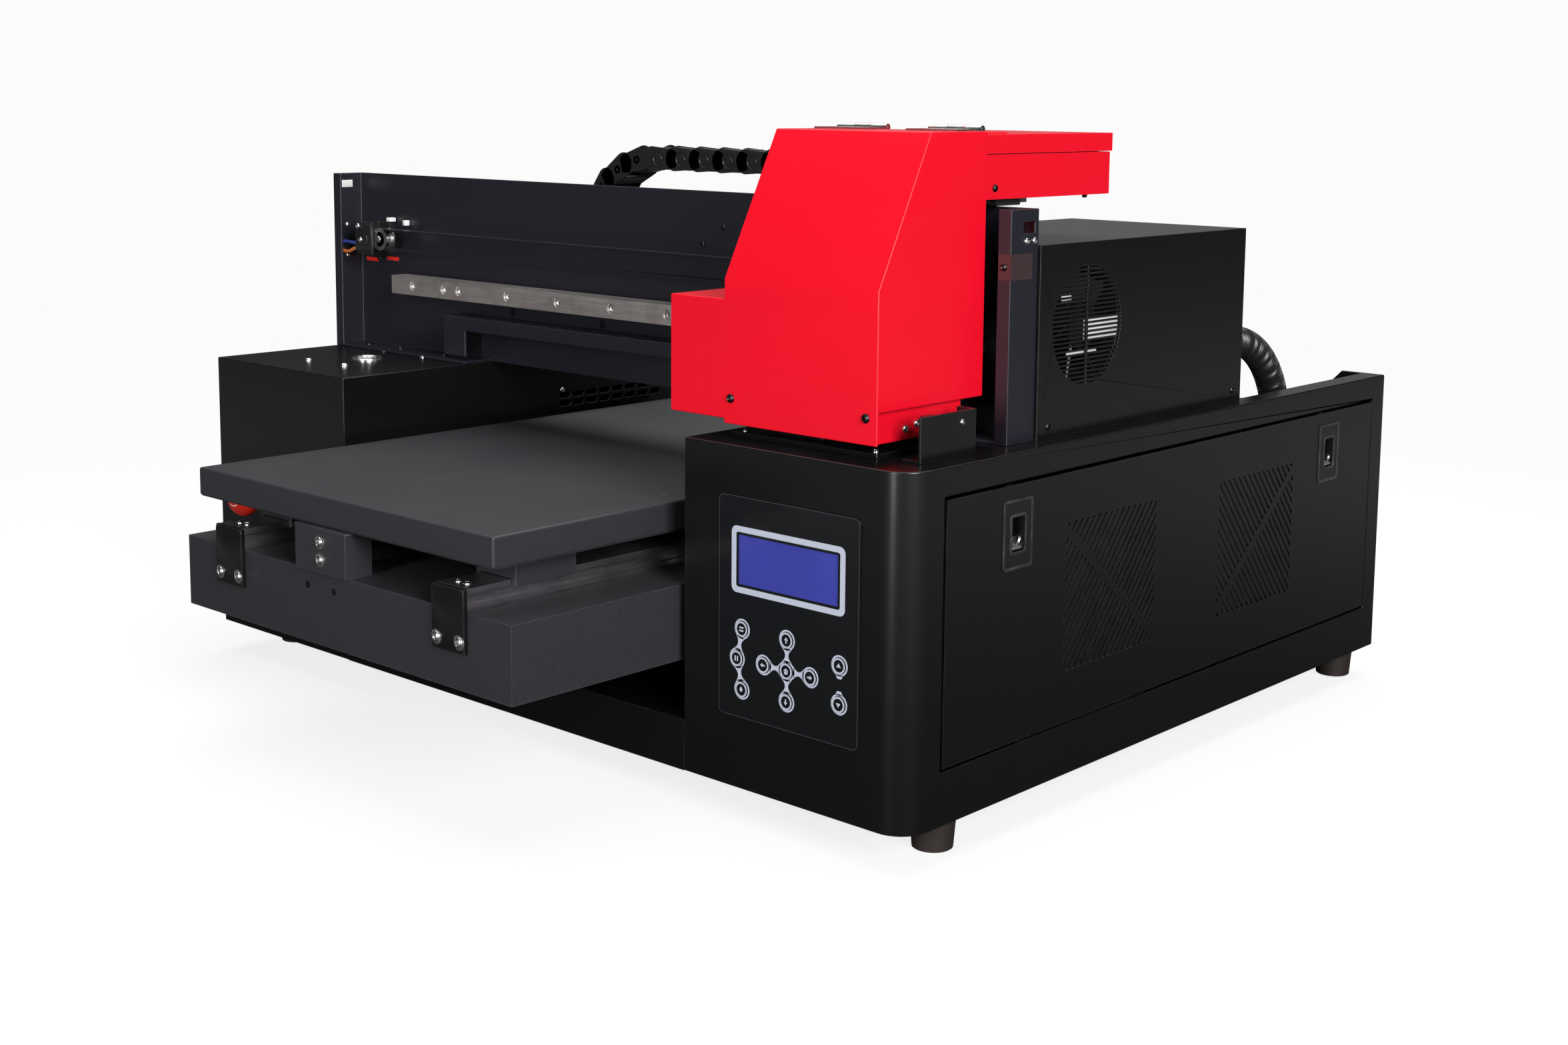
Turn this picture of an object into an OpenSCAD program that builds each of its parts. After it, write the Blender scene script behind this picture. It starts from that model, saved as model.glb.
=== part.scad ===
// Flatbed ultraviolet printer. A print carriage crosses a gantry over a bed that lifts and slides.
// The origin is on the ground, under the middle of the overall length and width.

/* [Base] */
// Width of the base
base_w = 725; // [604:1:900]
// Depth of the base
base_d = 598; // [560:1:760]
// Height of the base body above its feet
base_h = 220; // [200:1:270]
// Height of the rubber feet
foot_h = 23; // [16:1:40]
// Radius of a foot at its top
foot_r = 15; // [10:0.5:20]
// Distance of the feet's middles from the left and right sides
foot_side = 22; // [20:1:40]
// Distance of the front feet's middles from the front face
foot_front = 55; // [40:1:80]
// Distance of the rear feet's middles from the rear face
foot_rear = 22; // [20:1:40]
// Thickness of the sheet steel
sheet_t = 2; // [1.2:0.1:2.4]
// Width of the left tower
tower_w = 173; // [140:1:208]
// Width of the right housing
housing_w = 184; // [170:1:230]
// Radius of the upright front right corner
corner_r = 21; // [8:1:30]
// Height of the channel floor above the underside
floor_h = 34; // [32:1:42]
// Depth of the full deck, from the front face
deck_d = 405; // [400:1:460]
// Drop of the recess behind the deck
recess_drop = 50; // [30:1:90]
// Width of the rim beside the recess
rim_w = 18; // [12:1:26]

/* [Side door] */
// Distance of the door from the front face
door_front = 33; // [28:1:45]
// Distance of the door from the rear face
door_rear = 19; // [14:1:30]
// Height of the door opening's lower edge
door_low = 34; // [30:1:44]
// Distance of the door opening's upper edge below the deck
door_top = 18; // [12:1:26]
// Gap round the door
door_gap = 2; // [1.6:0.1:3]
// Width of a vent field
vent_w = 107; // [80:1:128]
// Height of a vent field
vent_h = 98; // [70:1:117]
// Distance of the front vent from the front face
vent_1 = 159; // [140:1:170]
// Distance of the rear vent from the front face
vent_2 = 348; // [330:1:370]
// Spacing of the slanted slots
slot_pitch = 5.3; // [4.4:0.1:7]
// Width of a slanted slot
slot_w = 2.4; // [2:0.1:3]
// Distance of the front latch from the front face
latch_1 = 106; // [80:1:116]
// Distance of the rear latch from the front face
latch_2 = 508; // [480:1:530]

/* [Control panel] */
// Width of the panel overlay
panel_w = 116; // [100:1:139]
// Height of the panel overlay
panel_h = 142; // [118:1:150]
// Distance of the overlay from the right side
panel_side = 36; // [32:1:44]
// Height of the overlay's lower edge above the underside
panel_low = 47; // [40:1:60]
// Width of the display window
lcd_w = 82; // [60:1:94]
// Height of the display window
lcd_h = 31.5; // [24:0.5:38]
// Radius of a key
key_r = 5; // [4:0.1:6]
// Gap round a key
key_gap = 0.3; // [0.2:0.05:0.5]

/* [Gantry] */
// Height of the gantry wall above the deck
gantry_h = 147; // [122:1:180]
// Distance of the gantry wall from the front face
gantry_front = 143; // [130:1:170]
// Reach of the end flanges in front of the wall
flange_reach = 27; // [22:1:33]
// Distance of the right flange from the right side
flange_side = 17; // [14:1:24]
// Width of the linear rail
rail_w = 15; // [12:1:18]
// Height of the linear rail above its seat
rail_h = 15; // [12:1:18]
// Height of the rail's middle above the deck
rail_z = 57; // [54:1:66]
// Spacing of the rail's fixing holes
rail_pitch = 60; // [40:1:80]
// Height of the belt's middle above the deck
belt_z = 93.5; // [88:0.5:100]
// Radius of the belt pulleys
pulley_r = 7.25; // [6:0.05:8.7]
// Width of the belts
belt_w = 8; // [6:0.5:10]
// Thickness of the belts
belt_t = 1.4; // [1:0.1:1.8]
// Gap between a belt and its pulley
belt_gap = 0.1; // [0.05:0.01:0.2]

/* [Carriage] */
// Width of the carriage cover
cover_w = 126; // [105:1:151]
// Distance of the parked cover from the right side
cover_side = 38; // [34:1:46]
// Distance of the cover from the front face
cover_front = 15; // [8:1:25]
// Width of the lamp's step box
step_w = 48; // [40:1:58]
// Height of the lamp's step box
step_h = 76; // [64:1:91]
// Gap between the deck and the cover
cover_lift = 9.5; // [8:0.5:14]
// Height of the cover's upright front
cover_front_h = 92; // [76:1:110]
// Slant of the cover's upper front, measured along Y
cover_slant = 47; // [38:1:56]
// Depth of the tank box
tank_d = 138; // [115:1:166]
// Height of the tank box
tank_h = 28; // [23:1:34]
// Height of the tank lid
lid_h = 12; // [9:0.5:15]
// Gap between the gantry wall and the tank box
tank_lift = 5; // [4:0.5:8]
// Thickness of the cover sheets
cover_t = 1.5; // [1.2:0.1:2]
// Height of a drag chain link
chain_h = 18; // [14:1:22]
// Width of the drag chain
chain_w = 30; // [24:1:36]
// Bend radius of the drag chain
chain_r = 75; // [60:1:78]
// Length of the chain's upper run when parked
chain_l = 218; // [180:1:262]

/* [Bed] */
// Reach of the bed box in front of the base
bed_reach = 138; // [115:1:166]
// Height of the bed box
bed_h = 50; // [41:1:60]
// Height of the bed box above the channel floor
bed_lift = 38; // [36:1:44]
// Gap between the bed box and the channel walls
bed_gap = 6.5; // [4:0.5:12]
// Gap between the bed box and the platen
platen_lift = 31; // [26:1:34]
// Thickness of the platen
platen_h = 20; // [16:1:24]
// Length of the platen
platen_l = 480; // [400:1:576]
// Distance of the platen's sides from the bed box's sides
platen_inset = 16; // [12:0.5:24]
// Width of the bed's aluminium profiles
profile_w = 30; // [25:1:36]
// Height of the bed's aluminium profiles
profile_h = 15; // [12:1:18]
// Distance of the profiles from the bed box's sides
profile_inset = 41.5; // [36:0.5:48]
// Radius of the guide rods
rod_r = 6; // [5:0.5:7]
// Radius of the lead screw
screw_r = 5; // [4:0.5:6]
// Radial running clearance of shafts
run_gap = 0.05; // [0.02:0.01:0.09]
// Sliding clearance between blocks and profiles
slide_gap = 0.3; // [0.2:0.05:0.6]
// Spacing of the two accessory holes in the bed box's front
hole_pitch = 29.5; // [20:0.5:40]
// Radius of the accessory holes
hole_r = 1.75; // [1.5:0.05:3]

/* [Electronics box] */
// Width of the electronics box
box_w = 150; // [125:1:165]
// Depth of the electronics box
box_d = 253; // [210:1:255]
// Height of the electronics box
box_h = 124; // [103:1:140]
// Radius of the round grille
grille_r = 39; // [33:0.5:47]
// Distance of the grille's middle from the gantry wall
grille_y = 54; // [48:1:62]
// Height of the grille's middle above the deck
grille_z = 70; // [54:1:76]
// Size of the cooling fan
fan_size = 80; // [70:1:92]

/* [Hidden] */

$fn = 48;
eps = 0.01;

// Overall box, which the origin is centred on.
plate_t = 3;
screw_head = 2.5;
rear_proud = 2;
front_reach = bed_reach + plate_t + screw_head;
x_l = -base_w / 2;
x_r = base_w / 2;
y_f = (front_reach - base_d - rear_proud) / 2;
y_b = y_f + base_d;
z_b = foot_h;
z_floor = z_b + floor_h;
z_deck = z_b + base_h;
chan_l = x_l + tower_w;
chan_r = x_r - housing_w;
chan_x = (chan_l + chan_r) / 2;

// Gantry.
wall_y = y_f + gantry_front;
wall_t = sheet_t;
z_wall = z_deck + gantry_h;
gantry_r = x_r - flange_side;
lip_w = 10;
rail_seat = 5;
rail_y = wall_y - rail_seat - rail_h;
rail_mid = z_deck + rail_z;
rail_left = x_l + 70;
rail_right = x_r - 55;
rail_end = 28;
belt_mid = z_deck + belt_z;
belt_y = wall_y - 17;
idler_x = x_l + 45;
drive_x = x_r - 72;
clamp_x = drive_x - 29;
clamp_w = 32;

// Carriage, parked at the right.
cover_r = x_r - cover_side;
cover_l = cover_r - cover_w;
cover_x = (cover_l + cover_r) / 2;
cover_y = y_f + cover_front;
cover_back = wall_y - 25;
z_cover = z_deck + cover_lift;
z_tank = z_wall + tank_lift;
lid_gap = 0.5;
z_lid = z_tank + tank_h + lid_gap;
z_top = z_lid + lid_h + 2;
hinge_y = cover_back + 2.8;
hinge_z = z_top + 1;
hinge_r = 2.5;
hinge_w = 40;
tank_y = cover_back + 1.2;
plate_y = cover_back - 14;
plate_d = 8;

// Drag chain: its upper run leaves the tank box level with the box's middle.
chain_z = z_tank + tank_h - 12;
chain_y = wall_y + wall_t + 15;
bend_x = cover_l - chain_l;
loop_l = 100;

// Bed.
bed_l = chan_l + bed_gap;
bed_r = chan_r - bed_gap;
bed_y = y_f - bed_reach;
bed_back = y_b - 6;
z_bed = z_floor + bed_lift;
z_bed_top = z_bed + bed_h;
z_platen = z_bed_top + platen_lift;
z_platen_top = z_platen + platen_h;
profile_x = [bed_l + profile_inset + profile_w / 2, bed_r - profile_inset - profile_w / 2];
y_belt_x = chan_x - 12.5;
y_idler_y = bed_y + 13;
y_drive_y = bed_back - 34;
z_y_belt = z_bed_top + 8;
boss_drop = 10;
z_rod = z_bed_top + 3;
rod_x = [bed_l + 20.5, bed_r - 20.5];
rod_y = [y_f + 60, y_b - 58];
lead_x = chan_x + 20;
lead_y = (y_f + y_b) / 2;

// Side door, hinged on two concealed barrels at its lower edge.
door_y0 = y_f + door_front;
door_y1 = y_b - door_rear;
door_z0 = z_b + door_low;
door_z1 = z_deck - door_top;
barrel_r = 3;
barrel_x = x_r - sheet_t - 3.5;
barrel_z = door_z0 + door_gap + 5;
barrel_y = [door_y0 + 60, door_y1 - 60];
post_w = 14;
post_reach = 12;
latch_y = [y_f + latch_1, y_f + latch_2];
latch_w = 30;
latch_h = 44;
latch_z = door_z1 - 8 - latch_h;
cup_w = 14;
cup_h = 22;

// Control panel.
panel_r = x_r - panel_side;
panel_l = panel_r - panel_w;
panel_z = z_b + panel_low;
overlay_t = 1.2;
lcd_x = panel_l + 17;
lcd_z = panel_z + panel_h - 24.5 - lcd_h;
key_travel = 0.8;
cross_x = panel_l + 58.4;
cross_z = panel_z + 38.2;
cross_p = 19.5;
side_x = [panel_l + 20.6, panel_l + 16.4];
pair_x = panel_l + 101;

// Electronics box.
box_r = gantry_r + 2;
box_l = box_r - box_w;
box_y = wall_y + wall_t;
box_back = box_y + box_d;
fan_y = box_y + grille_y;
fan_z = z_deck + grille_z;
fan_t = 25;
fan_x = box_r - sheet_t - fan_t;

black = [0.06, 0.06, 0.07];
charcoal = [0.12, 0.12, 0.13];
navy = [0.13, 0.14, 0.18];
red = [0.80, 0.04, 0.10];
steel = [0.72, 0.72, 0.74];
rubber = [0.04, 0.04, 0.04];

// A box between two values on each axis.
module slab(x, y, z) {
    translate([x[0], y[0], z[0]])
        cube([x[1] - x[0], y[1] - y[0], z[1] - z[0]]);
}

// A round bar along X, Y or Z from a starting point.
module bar_x(p, l, r) { translate(p) rotate([0, 90, 0]) cylinder(h = l, r = r); }
module bar_y(p, l, r) { translate(p) rotate([-90, 0, 0]) cylinder(h = l, r = r); }
module bar_z(p, l, r) { translate(p) cylinder(h = l, r = r); }

// Places its children upright in the XZ plane, extruded along +Y from y.
module wall_xz(y, t) {
    translate([0, y + t, 0]) rotate([90, 0, 0]) linear_extrude(t) children();
}

// Places a drawing with Y across and Z up, extruded along +X from x.
module wall_yz(x, t) {
    translate([x, 0, 0]) rotate([90, 0, 90]) linear_extrude(t) children();
}

// A rectangle with one rounded corner, at its front right.
module corner_plan(x0, x1, y0, y1, r) {
    union() {
        translate([x0, y0]) square([x1 - x0 - r, y1 - y0]);
        translate([x0, y0 + r]) square([x1 - x0, y1 - y0 - r]);
        translate([x1 - r, y0 + r]) circle(r);
    }
}

// A flat loop round two equal pulleys that stand a distance apart along X.
module loop_plan(l, r) {
    union() {
        circle(r);
        translate([l, 0]) circle(r);
        translate([0, -r]) square([l, 2 * r]);
    }
}

module belt_loop(l, w) {
    linear_extrude(w) difference() {
        loop_plan(l, pulley_r + belt_gap + belt_t);
        loop_plan(l, pulley_r + belt_gap);
    }
}

// ---- Base ----

// Post of the door's hinge, set back from the path of the door's lower edge.
module hinge_post(y) {
    x = barrel_x - post_reach;
    slab([x, x + sheet_t], [y, y + post_w], [z_b + sheet_t / 2, barrel_z + barrel_r]);
    slab([x, barrel_x], [y, y + post_w], [barrel_z, barrel_z + barrel_r]);
    bar_y([barrel_x, y, barrel_z], post_w, barrel_r);
}

module base_pan() {
    color(black) difference() {
        union() {
            translate([0, 0, z_b]) linear_extrude(sheet_t)
                corner_plan(x_l + sheet_t, x_r - sheet_t, y_f + sheet_t, y_b - sheet_t, corner_r - sheet_t);
            slab([chan_l, chan_r], [y_f, y_f + sheet_t], [z_b, z_floor]);
            slab([chan_l, chan_r], [y_b - sheet_t, y_b], [z_b, z_floor]);
            slab([chan_l, chan_r], [y_f, y_b], [z_floor - sheet_t, z_floor]);
            for (y = barrel_y) hinge_post(y);
        }
        bar_z([lead_x, lead_y, z_b + sheet_t + eps], floor_h, screw_r + 2);
        for (y = barrel_y) bar_y([barrel_x, y - 1, barrel_z], post_w + 2, barrel_r / 2 + run_gap);
    }
}

tower_grille_n = 8;
tower_grille_p = 15;
tower_grille_w = 12;
tower_grille_h = 4.5;
tower_grille_y = y_f + 217;

module left_tower() {
    color(black) difference() {
        slab([x_l, chan_l], [y_f, y_b], [z_b, z_deck]);
        slab([x_l + sheet_t, chan_l - sheet_t], [y_f + sheet_t, y_b - sheet_t], [z_b - 1, z_deck - sheet_t]);
        slab([chan_l - sheet_t - 1, chan_l + 1], [y_f + sheet_t, y_b - sheet_t], [z_b - 1, z_b + sheet_t]);
        for (i = [0 : tower_grille_n - 1], k = [0, 1])
            translate([chan_l - sheet_t - 1, tower_grille_y + i * tower_grille_p, z_deck - 45.5 + k * 7])
                cube([sheet_t + 2, tower_grille_w, tower_grille_h]);
        bar_y([stop_x, y_f - 1, stop_z], sheet_t + 2, stop_hole_r);
    }
}

module right_housing() {
    inner_r = corner_r - sheet_t;
    rec_z = z_deck - recess_drop;
    rec_y = y_f + deck_d;
    color(black) union() {
        difference() {
            translate([0, 0, z_b]) linear_extrude(base_h)
                corner_plan(chan_r, x_r, y_f, y_b, corner_r);
            translate([0, 0, z_b - 1]) linear_extrude(base_h + 1 - sheet_t)
                corner_plan(chan_r + sheet_t, x_r - sheet_t, y_f + sheet_t, y_b - sheet_t, inner_r);
            slab([chan_r - 1, chan_r + sheet_t + 1], [y_f + sheet_t, y_b - sheet_t], [z_b - 1, z_b + sheet_t]);
            // Door opening.
            slab([x_r - sheet_t - 1, x_r + 1], [door_y0, door_y1], [door_z0, door_z1]);
            // Opening behind the control panel.
            slab([panel_l + 6, panel_r - 6], [y_f - 1, y_f + sheet_t + 1], [panel_z + 6, panel_z + panel_h - 6]);
            // Recess behind the deck, with a slanted end to the rear wall.
            slab([chan_r - 1, x_r - rim_w], [rec_y, y_b - sheet_t], [rec_z, z_deck + 1]);
            wall_xz(y_b - sheet_t - 1, sheet_t + 2) polygon([[chan_r - 1, z_deck + 1],
                [x_r - 35, z_deck + 1], [x_r - 35 - recess_drop, rec_z], [chan_r - 1, rec_z]]);
            // Mains inlet.
            slab(inlet_x, [y_b - sheet_t - 1, y_b + 1], inlet_z);
        }
        slab([chan_r + sheet_t, x_r - rim_w], [rec_y, y_b - sheet_t], [rec_z - sheet_t, rec_z]);
        slab([chan_r + sheet_t, x_r - rim_w], [rec_y - sheet_t, rec_y], [rec_z - sheet_t, z_deck - sheet_t]);
        slab([x_r - rim_w, x_r - rim_w + sheet_t], [rec_y - sheet_t, y_b - sheet_t], [rec_z - sheet_t, z_deck - sheet_t]);
    }
}

module feet() {
    color(rubber) for (x = [x_l + foot_side, x_r - foot_side], y = [y_f + foot_front, y_b - foot_rear])
        translate([x, y, 0]) cylinder(h = foot_h, r1 = foot_r * 0.87, r2 = foot_r);
}

// ---- Gantry ----

module gantry_frame() {
    flange_y = wall_y - flange_reach;
    color(navy) difference() {
        union() {
            slab([x_l, gantry_r], [wall_y, wall_y + wall_t], [z_deck, z_wall]);
            for (x = [x_l, gantry_r - wall_t])
                slab([x, x + wall_t], [flange_y, wall_y + wall_t], [z_deck, z_wall]);
            slab([x_l, x_l + lip_w], [flange_y, flange_y + wall_t], [z_deck, z_wall]);
            slab([gantry_r - lip_w, gantry_r], [flange_y, flange_y + wall_t], [z_deck, z_wall]);
            // Feet on the tower and on the deck.
            slab([x_l, chan_l], [flange_y, wall_y], [z_deck, z_deck + wall_t]);
            slab([chan_r, gantry_r], [flange_y, wall_y], [z_deck, z_deck + wall_t]);
            // Ledge that carries the chain's lower run.
            slab([x_l + 10, box_l - 6], [wall_y, chain_y + chain_w + 6], [ledge_z - wall_t, ledge_z]);
            slab([x_l + 10, box_l - 6], [chain_y + chain_w + 4, chain_y + chain_w + 6], [ledge_z, ledge_z + 8]);
        }
        slab([gantry_r - wall_t - 1, gantry_r + 1], [wall_y - 14, wall_y - 2], [z_wall - 15, z_wall - 8]);
        bar_y([drive_x, wall_y - 1, belt_mid], wall_t + 2, 11);
    }
}

ledge_z = chain_z - 2 * chain_r - chain_h / 2 - 1;
skirt_drop = 11;

module beam_cover() {
    y0 = wall_y - 22.5;
    top = rail_mid - 20;
    color(navy) union() {
        slab([x_l + 142, cover_l - 20], [y0, wall_y], [top - sheet_t, top]);
        slab([x_l + 142, cover_l - 20], [y0, y0 + sheet_t], [top - skirt_drop, top]);
        slab([x_l + 142, x_l + 169], [y0, y0 + sheet_t], [z_deck + 5, top]);
    }
}

module x_rail() {
    span = rail_right - rail_left;
    n = floor((span - 2 * rail_end) / rail_pitch);
    color(steel) union() {
        difference() {
            slab([rail_left, rail_right], [rail_y, rail_y + rail_h], [rail_mid - rail_w / 2, rail_mid + rail_w / 2]);
            for (i = [0 : n]) rail_hole(rail_left + rail_end + i * rail_pitch);
            rail_hole(rail_left + rail_end + rail_pitch - 19);
        }
        slab([rail_left, rail_right], [rail_y + rail_h, wall_y], [rail_mid - 4, rail_mid + 4]);
    }
}

module rail_hole(x) {
    bar_y([x, rail_y - 1, rail_mid], rail_h + 2, 2.25);
    bar_y([x, rail_y - 1, rail_mid], 6.3, 3.75);
}

motor_w = 42;

// Square stepper motor with its shaft end at the origin, pointing up.
module motor_body(h) {
    c = 4;
    translate([0, 0, -h]) linear_extrude(h) polygon([for (q = [0 : 3]) for (s = [-1, 1])
        let (a = 90 * q, u = motor_w / 2, v = s * (motor_w / 2 - c))
        [u * cos(a) - v * sin(a), u * sin(a) + v * cos(a)]]);
}

lift_motor_h = floor_h - 2 * sheet_t - 3;

module drive_motors() {
    color(charcoal) {
        // Carriage motor, behind the gantry wall.
        difference() {
            translate([drive_x, wall_y + wall_t, belt_mid]) rotate([90, 0, 0]) motor_body(38);
            bar_y([drive_x, wall_y, belt_mid], 30, 2.5 + run_gap);
        }
        // Lift motor, under the channel floor.
        translate([lead_x, lead_y, z_b + sheet_t + lift_motor_h]) motor_body(lift_motor_h);
    }
}

module x_idler_bracket() {
    h = pulley_r + 6;
    x0 = idler_x - pulley_r - 8;
    color(charcoal) union() {
        slab([x0, idler_x + 5], [wall_y - 6, wall_y], [belt_mid - h, belt_mid + h]);
        slab([x0, idler_x + 5], [belt_y - 8, belt_y - 6], [belt_mid - h, belt_mid + h]);
        slab([x0, x0 + 5], [belt_y - 8, wall_y], [belt_mid - h, belt_mid + h]);
        bar_y([idler_x, belt_y - 6, belt_mid], wall_y - belt_y, 2.5);
    }
}

module x_belt() {
    color(rubber) translate([idler_x, belt_y + belt_w / 2, belt_mid]) rotate([90, 0, 0])
        belt_loop(drive_x - idler_x, belt_w);
}

// Toothed pulley with flanges; its axis is Z, and z = 0 is the middle of the belt.
module pulley(bore) {
    difference() {
        union() {
            translate([0, 0, -belt_w / 2 - 0.5]) cylinder(h = belt_w + 1, r = pulley_r);
            for (z = [-belt_w / 2 - 1.5, belt_w / 2 + 0.5])
                translate([0, 0, z]) cylinder(h = 1, r = pulley_r + 2.2);
        }
        if (bore > 0) translate([0, 0, -belt_w]) cylinder(h = 2 * belt_w, r = bore);
    }
}

module x_drive_pulley() {
    color(steel) union() {
        translate([drive_x, belt_y, belt_mid]) rotate([90, 0, 0]) pulley(0);
        bar_y([drive_x, belt_y, belt_mid], wall_y + wall_t + 20 - belt_y, 2.5);
    }
}

module x_idler_pulley() {
    color(steel) translate([idler_x, belt_y, belt_mid]) rotate([90, 0, 0]) pulley(2.5 + run_gap);
}

// ---- Electronics box ----

module electronics_box() {
    color(black) difference() {
        slab([box_l, box_r], [box_y, box_back], [z_deck, z_deck + box_h]);
        slab([box_l + sheet_t, box_r - sheet_t], [box_y - 1, box_back - sheet_t], [z_deck - 1, z_deck + box_h - sheet_t]);
        wall_yz(box_r - sheet_t - 1, sheet_t + 2) grille_plan();
    }
}

grille_n = 27;
grille_slot = 1.5;

module grille_plan() {
    p = 2 * grille_r / grille_n;
    translate([fan_y, fan_z]) intersection() {
        circle(grille_r);
        for (i = [0 : grille_n - 1], s = [-1, 1])
            translate([s < 0 ? -grille_r - 1 : 0.8, -grille_r + (i + 0.5) * p - grille_slot / 2])
                square([grille_r + 0.2, grille_slot]);
    }
}

module fan_frame() {
    color(charcoal) translate([fan_x, fan_y, fan_z]) rotate([90, 0, 90]) difference() {
        translate([-fan_size / 2, -fan_size / 2, 0]) cube([fan_size, fan_size, fan_t]);
        difference() {
            translate([0, 0, -1]) cylinder(h = fan_t + 2, r = fan_size / 2 - 2);
            translate([0, 0, -2]) cylinder(h = 5, r = 17);
            for (a = [45, 135]) rotate(a) translate([-fan_size / 2, -2.5, 0]) cube([fan_size, 5, 3]);
        }
        translate([0, 0, -1]) cylinder(h = 5, r = 2 + run_gap);
        for (x = [-1, 1], y = [-1, 1])
            translate([x * (fan_size / 2 - 4.2), y * (fan_size / 2 - 4.2), -1]) cylinder(h = fan_t + 2, r = 2.2);
    }
}

module fan_rotor() {
    blade_l = fan_size / 2 - 4;
    color([0.10, 0.10, 0.11]) translate([fan_x, fan_y, fan_z]) rotate([90, 0, 90]) union() {
        translate([0, 0, 1]) cylinder(h = 3, r = 2);
        translate([0, 0, 4]) cylinder(h = fan_t - 6, r = 16);
        for (i = [0 : 6]) rotate(i * 360 / 7) translate([12, 0, 13])
            rotate([38, 0, 0]) translate([0, -0.8, -10]) cube([blade_l - 12, 1.6, 20]);
    }
}

conduit_r = 10;
conduit_bend = 75;
conduit_x = box_r - 30;
conduit_z = z_deck + 37;
conduit_out = 34;

// Ribbed conduit from the box's rear down into the recess behind the deck.
module conduit() {
    drop = conduit_z - (z_deck - recess_drop) - conduit_bend;
    n = 18;
    color(black) translate([conduit_x, box_back, conduit_z]) union() {
        slab([-14, 14], [0, 4], [-14, 14]);
        bar_y([0, 4, 0], conduit_out - 4, conduit_r);
        translate([0, conduit_out, -conduit_bend]) {
            rotate([90, 0, 90]) rotate_extrude(angle = 90) translate([conduit_bend, 0]) circle(conduit_r);
            for (i = [1 : n]) rotate([i * 90 / (n + 1), 0, 0]) translate([0, conduit_bend, -1])
                cylinder(h = 2, r = conduit_r + 1.2);
            translate([0, conduit_bend, -drop]) cylinder(h = drop, r = conduit_r);
        }
    }
}

// ---- Control panel ----

module key_plan(r) {
    for (p = keys) translate(p) circle(r);
}

keys = [[side_x[0], cross_z + cross_p], [side_x[1], cross_z], [side_x[0], cross_z - cross_p],
    [cross_x, cross_z + cross_p], [cross_x - cross_p, cross_z], [cross_x, cross_z],
    [cross_x + cross_p, cross_z], [cross_x, cross_z - cross_p], [pair_x, cross_z + 12], [pair_x, cross_z - 12]];

module control_panel() {
    r = 4;
    color(black) union() {
        wall_xz(y_f - overlay_t, overlay_t) difference() {
            union() {
                translate([panel_l + r, panel_z]) square([panel_w - 2 * r, panel_h]);
                translate([panel_l, panel_z + r]) square([panel_w, panel_h - 2 * r]);
                for (x = [panel_l + r, panel_r - r], z = [panel_z + r, panel_z + panel_h - r])
                    translate([x, z]) circle(r);
            }
            translate([lcd_x, lcd_z]) square([lcd_w, lcd_h]);
            key_plan(key_r + key_gap);
        }
        // Frame that carries the overlay behind the housing's opening.
        wall_xz(y_f, sheet_t) difference() {
            translate([panel_l + 6, panel_z + 6]) square([panel_w - 12, panel_h - 12]);
            translate([lcd_x, lcd_z]) square([lcd_w, lcd_h]);
            key_plan(key_r + 1.2 + key_gap);
        }
        slab([panel_l + 6, panel_r - 6], [y_f + sheet_t + key_travel + 2, y_f + sheet_t + key_travel + 4],
            [panel_z + 6, lcd_z - 6]);
        for (x = [panel_l + 6, panel_r - 8])
            slab([x, x + 2], [y_f + sheet_t, y_f + sheet_t + key_travel + 2], [panel_z + 8, lcd_z - 8]);
    }
}

module lcd_module() {
    color([0.16, 0.17, 0.50]) union() {
        slab([lcd_x, lcd_x + lcd_w], [y_f - overlay_t / 2, y_f + sheet_t], [lcd_z, lcd_z + lcd_h]);
        slab([lcd_x - 5, lcd_x + lcd_w + 5], [y_f + sheet_t, y_f + sheet_t + 8], [lcd_z - 5, lcd_z + lcd_h + 5]);
    }
}

// One key: a cap in the overlay, on a wider foot behind it.
module key_cap(i) {
    color([0.75, 0.76, 0.80]) translate([keys[i][0], 0, keys[i][1]]) union() {
        bar_y([0, y_f - overlay_t - key_travel, 0], overlay_t + key_travel + sheet_t - 0.6, key_r);
        bar_y([0, y_f + key_travel / 2, 0], sheet_t, key_r + 1);
    }
}

module key_mode() { key_cap(0); }
module key_pause() { key_cap(1); }
module key_clean() { key_cap(2); }
module key_in() { key_cap(3); }
module key_left() { key_cap(4); }
module key_home() { key_cap(5); }
module key_right() { key_cap(6); }
module key_out() { key_cap(7); }
module key_up() { key_cap(8); }
module key_down() { key_cap(9); }

// ---- Emergency stop ----

stop_x = x_l + 61;
stop_z = z_b + 117;
stop_hole_r = 11;
stop_head_r = 17.5;

module stop_collar() {
    color([0.85, 0.65, 0.08]) difference() {
        union() {
            bar_y([stop_x, y_f - 8, stop_z], 8, 14.5);
            bar_y([stop_x, y_f, stop_z], 24, stop_hole_r);
        }
        bar_y([stop_x, y_f - 9, stop_z], 30, 8 + slide_gap);
    }
}

module stop_button() {
    color([0.80, 0.05, 0.05]) union() {
        bar_y([stop_x, y_f - 14, stop_z], 30, 8);
        bar_y([stop_x, y_f - 22, stop_z], 9, stop_head_r);
        translate([stop_x, y_f - 22, stop_z]) rotate([90, 0, 0])
            cylinder(h = 6, r1 = stop_head_r, r2 = stop_head_r - 6);
    }
}

// ---- Rear and inside ----

inlet_x = [x_r - 118, x_r - 91];
inlet_z = [z_b + 60, z_b + 80];

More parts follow.
